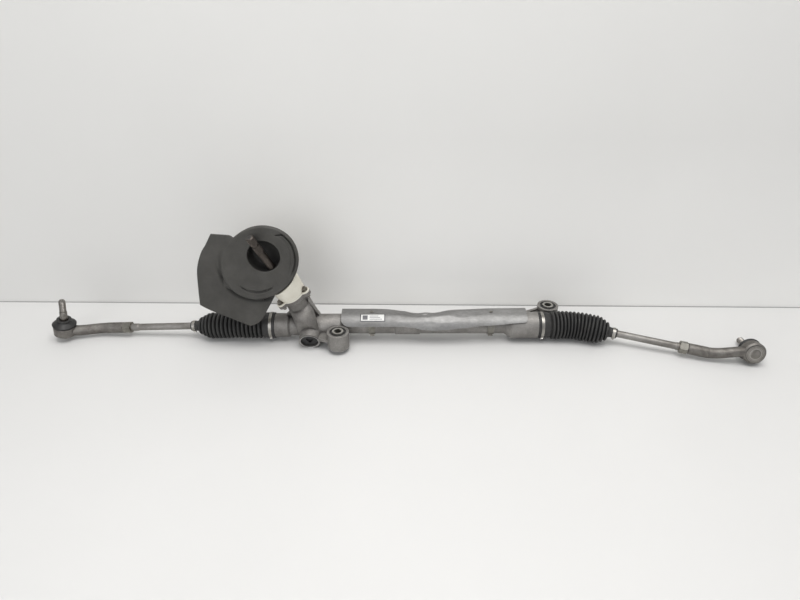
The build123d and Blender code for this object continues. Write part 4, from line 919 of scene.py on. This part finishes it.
# %% [markdown]
# Behind the opening hangs a deep rubber cup, which keeps the wind and the noise out of the car.
# It closes round the shaft with a sleeve that sags into soft pleats. Both are turned, and the
# cup is pulled out of round by a little noise, more so towards its floor. The cup's rubber is
# painted darker than the sleeve's, as painted shade deep behind the opening.

# %% Hang the cup and its sleeve
CUP_OUTSIDE = [(27.4, -1.4), (27.3, -6.0), (27.0, -14.0), (26.4, -20.0), (24.0, -25.0),
               (18.0, -28.2), (9.0, -29.6), (0.4, -29.9)]
CUP_INSIDE = [(0.4, -31.0), (9.0, -30.8), (19.0, -29.6), (25.4, -26.0), (28.0, -20.4),
              (28.6, -14.0), (28.8, -3.0)]
FOOT_AT = PINION_AT + PINION_WAY * 0.0935
SLEEVE_END = PINION_AT + PINION_WAY * 0.1430
SLEEVE_R, SLEEVE_THICK, SLEEVE_ROWS = 11.7, 0.0013, 20


def seal_cup():
    def wobble(ring, turn):
        deep = ring if ring < len(CUP_OUTSIDE) else 2 * len(CUP_OUTSIDE) - 2 - ring
        spot = Vector((cos(turn) * 2.2, sin(turn) * 2.2, deep * 0.7))
        return 0.035 * noise.noise(spot) * min(1.0, deep / 3)

    # painted shade: the cup's rubber is painted darker, as shade deep behind the opening
    piece = turned("seal_cup", SEAL_AT, SEAL_WAY, CUP_OUTSIDE + CUP_INSIDE, "shade_rubber",
                   slot="grey_rubber", wobble=wobble)
    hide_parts("dash_seal")
    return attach(piece, "housing")


def seal_sleeve():
    rings = []
    for k in range(SLEEVE_ROWS + 1):
        share = k / SLEEVE_ROWS
        pleat = 0.7 * sin(share * pi * 7) * sin(pi * share)
        rings.append((FOOT_AT.lerp(SLEEVE_END, share), PINION_WAY, (SLEEVE_R + pleat) * MM))
    shell = [(centre, way, r - SLEEVE_THICK) for centre, way, r in reversed(rings)]
    piece = lathe("seal_sleeve", rings + shell, "grey_rubber", steps=72)
    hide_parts("dash_seal")
    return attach(piece, "housing")


print("made", seal_cup().name, "and", seal_sleeve().name)

# %% [markdown]
# In front, the plastic cup carries on from the tower's ears right up to the disc's edge. This
# shoulder is a thin band of the cup's neck; where the disc is in the way it tucks in behind it.
# So it is turned like the rest, and then the lathe pushes back the points that would come
# through. The rings lie close together, or the tucked edge would look like a saw.

# %% Close the neck under the disc
NECK_FOOT, NECK_TOP, NECK_STEPS = 0.085, 0.125, 40      # heights along the pinion axis
NECK_FOOT_R, NECK_FLARE = 25.6, 3.1
NECK_OUT, NECK_IN = 0.35, 1.1                           # its two faces, from the cup's surface
BEHIND_DISC = -11.5


def behind_disc(spot):
    """A point of the neck, pushed back behind the disc where the disc covers it."""
    local = (spot - SEAL_AT) / MM
    x, y, z = local.dot(SEAL_X), local.dot(SEAL_Y), local.dot(SEAL_WAY)
    from_x, from_y = x - DISC_AT[0], y - DISC_AT[1]
    away = hypot(from_x, from_y) - disc_reach(atan2(from_y, from_x))
    if z > BEHIND_DISC:
        z = BEHIND_DISC + (z - BEHIND_DISC) * eased(0.3, 0.9, away)
    return on_seal(x, y, z)


def cup_shoulder():
    rows = []
    for k in range(NECK_STEPS + 1):
        share = k / NECK_STEPS
        rows.append((NECK_FOOT + (NECK_TOP - NECK_FOOT) * share, NECK_FOOT_R + NECK_FLARE * share))
    profile = [(h, r + NECK_OUT) for h, r in rows] + [(h, r - NECK_IN) for h, r in reversed(rows)]
    rings = [(PINION_AT + PINION_WAY * h, PINION_WAY, r * MM) for h, r in profile]
    piece = lathe("cup_shoulder", rings, "cream_plastic", steps=240, shift=behind_disc)
    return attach(piece, "housing")


print("made", cup_shoulder().name)

# %% [markdown]
# The shaft's end keeps the small centre hole that it was turned from. At this size a shallow
# dish, painted dark as the hole's shade, reads as the hole, so nothing is cut into the solid.

# %% Drill the shaft's centre
SHAFT_END = 0.2230
CENTRE_PROFILE = [(4.4, 0.02), (4.1, 0.16), (2.6, 0.16), (0.2, 0.12), (0.2, 0.02), (2.4, 0.02)]


def shaft_centre():
    # painted shade: the dish is painted dark to stand for the shade inside the hole
    piece = turned("shaft_centre", PINION_AT + PINION_WAY * SHAFT_END, PINION_WAY,
                   CENTRE_PROFILE, "shade_rubber", slot="shaft_steel", steps=48)
    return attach(piece, "pinion")


print("made", shaft_centre().name)

# %% [markdown]
# The bore for the yoke's plug is machined, so its chamfer shines as a thin bright ring. The
# boss's face is found on the casting itself: its furthest point along the plug's axis.

# %% Cut the plug's chamfer
PLUG_AT = Vector((-0.053, 0.040, 0.0035))
PLUG_WAY = Vector((0, -cos(radians(18)), -sin(radians(18))))
PLUG_BOSS_R = 0.0190
CHAMFER_PROFILE = [(15.9, -0.9), (16.3, -0.35), (17.0, 0.10), (17.9, 0.12), (18.1, 0.02),
                   (16.2, -1.2)]


def boss_face():
    face = 0.0
    for spot in spots_of("rack_housing"):
        along = (spot - PLUG_AT).dot(PLUG_WAY)
        if along > face and (spot - PLUG_AT - PLUG_WAY * along).length < PLUG_BOSS_R:
            face = along
    return face


def plug_chamfer():
    piece = turned("plug_chamfer", PLUG_AT + PLUG_WAY * boss_face(), PLUG_WAY,
                   CHAMFER_PROFILE, "cast_alloy_inner", slot="cast_alloy", steps=72)
    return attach(piece, "housing")


print("made", plug_chamfer().name, "at", round(boss_face() / MM, 2), "mm from the rack's axis")

# %% [markdown]
# ## The heat shield
# Thin bright sheet, bent round the top and front of the tube and held off it by two posts. In
# use such a shield gets knocked about, so its right half is creased and dented. It is modelled as
# a fine grid on the bent sheet: each dent pushes a patch of the grid towards the tube.

# %% Lay out the shield
SHIELD_LEFT, SHIELD_RIGHT = 0.0045, 0.345
SHIELD_R = 0.0280
SHIELD_THICK = 0.0008
SHIELD_FROM, SHIELD_TO = radians(27), radians(122)
HALF_HIGH = (SHIELD_TO - SHIELD_FROM) / 2 * SHIELD_R
HALF_LONG = (SHIELD_RIGHT - SHIELD_LEFT) / 2
SHIELD_CORNERS = {(-1, -1): 0.014, (-1, 1): 0.0015, (1, -1): 0.007, (1, 1): 0.007}
BACK_EDGE_OUT = ((0.0, 2.8), (0.060, 2.8), (0.110, 1.5), (0.140, 0.2), (0.180, 0.0),
                 (0.215, 1.0), (0.285, 3.4), (0.345, 4.4))   # how far it stands off, in mm
LOW_EDGE_UP = ((0.0, 27), (0.120, 27), (0.135, 23), (0.155, 14), (0.172, 11), (0.195, 14),
               (0.220, 20), (0.269, 31), (0.345, 42))        # where it was bent to, in degrees


def along_edge(run, x):
    """The value that a run of (x, value) pairs has at x, with soft bends between them."""
    for (x0, v0), (x1, v1) in zip(run, run[1:]):
        if x <= x1:
            return v0 + (v1 - v0) * eased(x0, x1, x)
    return run[-1][1]


def on_shield(x, up, r):
    """A point at an angle up from the front, and r from the rack's axis."""
    return x, RACK_LINE.y - r * cos(up), RACK_LINE.z + r * sin(up)


print("the sheet is", round(2 * HALF_LONG / MM, 1), "by", round(2 * HALF_HIGH / MM, 1), "mm flat")

# %% [markdown]
# One long blow has flattened the sheet's upper middle, and small ones lie round it. Each dent is
# an oval hollow with soft sides, and a little noise keeps any two from looking alike.

# %% Push in the dents
DENTS = (
    # along X, degrees up, half length, half height, depth
    (0.152, 104, 0.075, 44, 0.0088),
    (0.128, 62, 0.034, 22, 0.0010),
    (0.186, 58, 0.038, 18, 0.0013),
    (0.222, 76, 0.026, 16, 0.0009),
    (0.252, 88, 0.026, 16, 0.0009),
    (0.170, 36, 0.020, 14, 0.0008),
)
DEEPEST = 0.0092                                  # the tube stops a deeper dent


def dent_depth(x, up):
    """How far the sheet is pushed in, at a place along X and an angle up from the front."""
    depth = 0.0
    for at_x, at_up, long, high, deep in DENTS:
        far = ((x - at_x) / long) ** 2 + ((up - radians(at_up)) / radians(high)) ** 2
        if far < 1:
            rough = 0.85 + 0.4 * noise.noise(Vector((x * 60, up * 3, 0)))
            depth += deep * (1 - far) ** 2 * rough
    ripple = 0.00022 * noise.noise(Vector((x * 24, up * 2.0, 1.7)))
    return min(depth, DEEPEST) + 0.00030 + ripple


print("the long dent is", round(dent_depth(0.152, radians(104)) / MM, 1), "mm deep")

# %% [markdown]
# The sheet is first laid out flat, with its corners rounded, and then bent round the rack's axis.
# Last its edges are bent and its dents pushed in, in the same way as it happened to the real one.

# %% Bend and dent the sheet
def rounded_place(u, v):
    """A place on the flat sheet, for u and v from -1 to 1, with the corners rounded off."""
    x, h = u * HALF_LONG, v * HALF_HIGH
    way_x, way_h = (1 if x > 0 else -1), (1 if h > 0 else -1)
    corner = SHIELD_CORNERS[(way_x, way_h)]
    over_x, over_h = abs(x) - (HALF_LONG - corner), abs(h) - (HALF_HIGH - corner)
    reach = hypot(over_x, over_h)
    if over_x > 0 and over_h > 0 and reach > corner:
        pull = corner / reach
        x = (abs(x) - over_x + over_x * pull) * way_x
        h = (abs(h) - over_h + over_h * pull) * way_h
    return x, h


def shield_spot(a, b, layer):
    """A point of the bent sheet, for a and b from 0 to 1 along and across it."""
    x, h = rounded_place(2 * a - 1, 2 * b - 1)
    x += (SHIELD_LEFT + SHIELD_RIGHT) / 2
    up = (SHIELD_FROM + SHIELD_TO) / 2 + h / SHIELD_R
    share = (SHIELD_TO - up) / (SHIELD_TO - SHIELD_FROM)
    up += (radians(along_edge(LOW_EDGE_UP, x)) - SHIELD_FROM) * share
    r = SHIELD_R - dent_depth(x, up) - layer * SHIELD_THICK
    r += along_edge(BACK_EDGE_OUT, x) * MM * eased(radians(84), radians(118), up)
    return on_shield(x, up, r)


print("its middle lies at", tuple(round(v, 4) for v in shield_spot(0.5, 0.5, 0)))

# %% [markdown]
# Two layers of points, one thickness apart, and a rim between them make it a real sheet. A
# solidify modifier would do the same, but the points are at hand anyway.

# %% Make the sheet
SHIELD_ACROSS, SHIELD_ALONG = 44, 240


def sheet_spots(across, along, spot):
    """The points of a sheet, row by row, with spot(a, b) for shares of its length and height."""
    return [spot(i / along, j / across) for j in range(across + 1) for i in range(along + 1)]


def heat_shield():
    across, along = SHIELD_ACROSS, SHIELD_ALONG
    points = [spot for layer in (0, 1)
              for spot in sheet_spots(across, along, lambda a, b: shield_spot(a, b, layer))]
    row, size = along + 1, (along + 1) * (across + 1)
    front = quads(across + 1, row, closed=False, ring=False)
    back = [(a + size, d + size, c + size, b + size) for a, b, c, d in front]
    rim = list(range(row)) + [j * row + along for j in range(1, across + 1)]
    rim += [across * row + i for i in range(along - 1, -1, -1)]
    rim += [j * row for j in range(across - 1, 0, -1)]
    sides = [(a, a + size, b + size, b) for a, b in zip(rim, rim[1:] + rim[:1])]
    piece = add_piece("shield_sheet", points, front + back + sides, "shield_metal",
                      crease=radians(50))
    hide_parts("heat_shield")
    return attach(piece, "housing")


print("shield:", len(heat_shield().data.vertices), "points")

# %% [markdown]
# A small plain label sits on the shield's front: pale film with a dark printed frame and a few
# blank bars, and no words. The print is made of boxes in the label's own UV square, from 0 to 1
# each way, so it needs no picture.

# %% Print a blank label
def label_finish(name):
    tree, shader = new_finish(name)
    uv = grow(tree, "ShaderNodeUVMap", uv_map="face").outputs["UV"]
    parts = grow(tree, "ShaderNodeSeparateXYZ", {"Vector": uv})

    def between(axis, low, high):
        value = parts.outputs[axis]
        above = grow(tree, "ShaderNodeMath", {0: value, 1: low}, operation="GREATER_THAN")
        below = grow(tree, "ShaderNodeMath", {0: value, 1: high}, operation="LESS_THAN")
        return product(tree, above.outputs[0], below.outputs[0])

    def boxed(x0, x1, y0, y1):
        return product(tree, between("X", x0, x1), between("Y", y0, y1))

    mottled = speckle(tree, 300, 4.0)
    film = ramp(tree, mottled, [(0.3, (0.60, 0.60, 0.58)), (0.7, (0.70, 0.70, 0.68))])
    colour = blended(tree, boxed(0.04, 0.96, 0.10, 0.90), (0.05, 0.05, 0.055), film)
    colour = blended(tree, boxed(0.10, 0.30, 0.22, 0.78), colour, (0.10, 0.10, 0.11))
    for k in range(3):
        low = 0.24 + 0.2 * k
        bar = boxed(0.38, 0.88 - 0.08 * k, low, low + 0.09)
        colour = blended(tree, bar, colour, (0.22, 0.22, 0.23))
    tree.links.new(colour, shader.inputs["Base Color"])
    worn = ramp(tree, speckle(tree, 900, 3.0), [(0.3, 0.35), (0.7, 0.5)])
    tree.links.new(worn, shader.inputs["Roughness"])


label_finish("label_film")
print("the label's finish has", len(FINISH["label_film"].node_tree.nodes), "nodes")

# %% [markdown]
# The label follows the sheet, dents and all, a tenth of a millimetre in front of it. Its UV
# square comes from the same place and angle that its points were made from.

# %% Stick the label on
LABEL_X, LABEL_UP = (0.039, 0.085), (radians(46), radians(80))
LABEL_LIFT = 0.00012


def label():
    (x0, x1), (up0, up1) = LABEL_X, LABEL_UP

    def spot(a, b):
        x, up = x0 + (x1 - x0) * a, up0 + (up1 - up0) * b
        return on_shield(x, up, SHIELD_R - dent_depth(x, up) + LABEL_LIFT)

    across, along = 12, 20
    faces = quads(across + 1, along + 1, closed=False, ring=False)
    piece = add_mesh("shield_label", sheet_spots(across, along, spot), faces, "label_film")
    layer = piece.data.uv_layers.new(name="face")
    for loop in piece.data.loops:
        x, y, z = piece.data.vertices[loop.vertex_index].co
        up = atan2(z - RACK_LINE.z, RACK_LINE.y - y)
        layer.data[loop.index].uv = ((x - x0) / (x1 - x0), (up - up0) / (up1 - up0))
    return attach(piece, "housing")


print("made", label().name)

# %% [markdown]
# ## The stage
# A white table top, and a pale backdrop that stands close behind it. Both are plain; a very
# faint noise keeps them from looking like paper cut-outs.

# %% Make the stage's finishes
def plain_finish(name, low, high, roughness):
    tree, shader = new_finish(name)
    tone = ramp(tree, speckle(tree, 1.4, 3.0), [(0.3, low), (0.7, high)])
    tree.links.new(tone, shader.inputs["Base Color"])
    shader.inputs["Roughness"].default_value = roughness
    print("made", name)


plain_finish("table_white", (0.635, 0.632, 0.62), (0.665, 0.661, 0.65), 0.55)
plain_finish("wall_grey", (0.70, 0.695, 0.675), (0.73, 0.725, 0.705), 0.9)
# painted shadow: the grey of the thin line where the table meets the wall
plain_finish("shadow_line_grey", (0.38, 0.38, 0.375), (0.43, 0.43, 0.42), 0.8)

# %% [markdown]
# The wall is a little paler low down on the right, where the table throws light on it. It is
# also see-through for a camera behind it, so that the part's far side can be looked at: its
# material lets camera rays pass that meet its back, and stays a plain wall for all light.

# %% Lift the wall's low corner and open its back
def lift_low_right(name, share):
    tree = FINISH[name].node_tree
    right = along_axis(tree, "X", -0.45, 0.15)
    low = along_axis(tree, "Z", 0.32, 0.02)
    gain = grow(tree, "ShaderNodeMath", {0: product(tree, right, low), 1: share, 2: 1.0},
                operation="MULTIPLY_ADD")
    scale_colour(name, gain.outputs[0])


def see_through_back(name):
    tree = FINISH[name].node_tree
    behind = grow(tree, "ShaderNodeNewGeometry").outputs["Backfacing"]
    seen = grow(tree, "ShaderNodeLightPath").outputs["Is Camera Ray"]
    clear = grow(tree, "ShaderNodeBsdfTransparent").outputs[0]
    solid = tree.nodes["Principled BSDF"].outputs[0]
    mixed = grow(tree, "ShaderNodeMixShader", {0: product(tree, behind, seen), 1: solid, 2: clear})
    tree.links.new(mixed.outputs[0], tree.nodes["Material Output"].inputs["Surface"])


lift_low_right("wall_grey", 0.17)
see_through_back("wall_grey")
print("the wall's finish has", len(FINISH["wall_grey"].node_tree.nodes), "nodes")

# %% [markdown]
# The table and the wall are single large quads, far wider than the view. A narrow strip of a
# darker grey where they meet is a painted shadow line along the table's back edge.

# %% Lay the table and hang the backdrop
FLOOR_Z = -0.0247                                 # the table top
STAGE_HALF, WALL_TOP, WALL_BELOW = 6, 5, 0.02
BACKDROP_Y, BACKDROP_SKEW = 0.1601, 0.0852        # the wall is not quite square to the part
SHADOW_LINE_HIGH, SHADOW_LINE_IN_FRONT = 0.0018, 0.001


def sheet(name, corners, finish):
    mesh = bpy.data.meshes.new(name)
    mesh.from_pydata(corners, [], [(0, 1, 2, 3)])
    mesh.materials.append(FINISH[finish])
    piece = place(name, mesh)
    print("laid", piece.name)


def upright(name, finish, forward, low, high):
    """A quad across the whole stage, in the wall's plane or a little in front of it."""
    left_y = BACKDROP_Y + BACKDROP_SKEW - forward
    right_y = BACKDROP_Y - BACKDROP_SKEW - forward
    far = STAGE_HALF
    corners = [(-far, left_y, low), (far, right_y, low), (far, right_y, high), (-far, left_y, high)]
    sheet(name, corners, finish)


far = STAGE_HALF
sheet("table", [(-far, -far, FLOOR_Z), (far, -far, FLOOR_Z), (far, far, FLOOR_Z),
                (-far, far, FLOOR_Z)], "table_white")
upright("backdrop", "wall_grey", 0.0, FLOOR_Z - WALL_BELOW, WALL_TOP)
# painted shadow: a dark strip along the foot of the wall
upright("shadow_line", "shadow_line_grey", SHADOW_LINE_IN_FRONT, FLOOR_Z, FLOOR_Z + SHADOW_LINE_HIGH)

# %% [markdown]
# ## Light and camera
# One very broad lamp hangs overhead, a weak one stands in front on the left, and the sky is even.
# Light from above keeps the undersides dark and leaves a soft shadow close round the part. A
# smaller lamp would draw hard shadows, which a pale room like this doesn't have.

# %% Hang the lamps
def lamp(name, at, target, size, power, tone):
    data = bpy.data.lights.new(name, "AREA")
    data.shape, data.size, data.energy, data.color = "DISK", size, power, tone
    made = place(name, data)
    made.location = at
    made.rotation_euler = (Vector(target) - Vector(at)).to_track_quat("-Z", "Y").to_euler()
    print(name, "lamp:", power, "W")


lamp("key", (0.25, -0.35, 2.1), (0.1, -0.1, 0.0), 1.9, 43, (1.0, 0.99, 0.975))
lamp("fill", (-0.8, -2.2, 1.0), (0, 0.10, 0.05), 1.8, 16, (0.98, 0.99, 1.0))
world = bpy.data.worlds.new("even_sky")
bpy.context.scene.world = world
world.use_nodes = True
sky = world.node_tree.nodes["Background"].inputs
sky["Color"].default_value = (0.95, 0.96, 1.0, 1.0)
sky["Strength"].default_value = 0.46

# %% [markdown]
# The camera stands close in front and looks down on the part, so the near pieces look a little
# larger than the far ones. The Standard view shows each colour about as it is written.

# %% Place the camera
camera_data = bpy.data.cameras.new("camera")
camera_data.lens = 27.0
camera_data.sensor_width = 36.0
camera = place("camera", camera_data)
camera.location = (0.112, -0.896, 0.6203)
camera.rotation_euler = Euler((radians(59), 0, 0))
bpy.context.scene.camera = camera
bpy.context.scene.view_settings.view_transform = "Standard"
print("the camera looks down at", round(90 - degrees(camera.rotation_euler.x)), "degrees")

# %% Close
print("the scene is built")
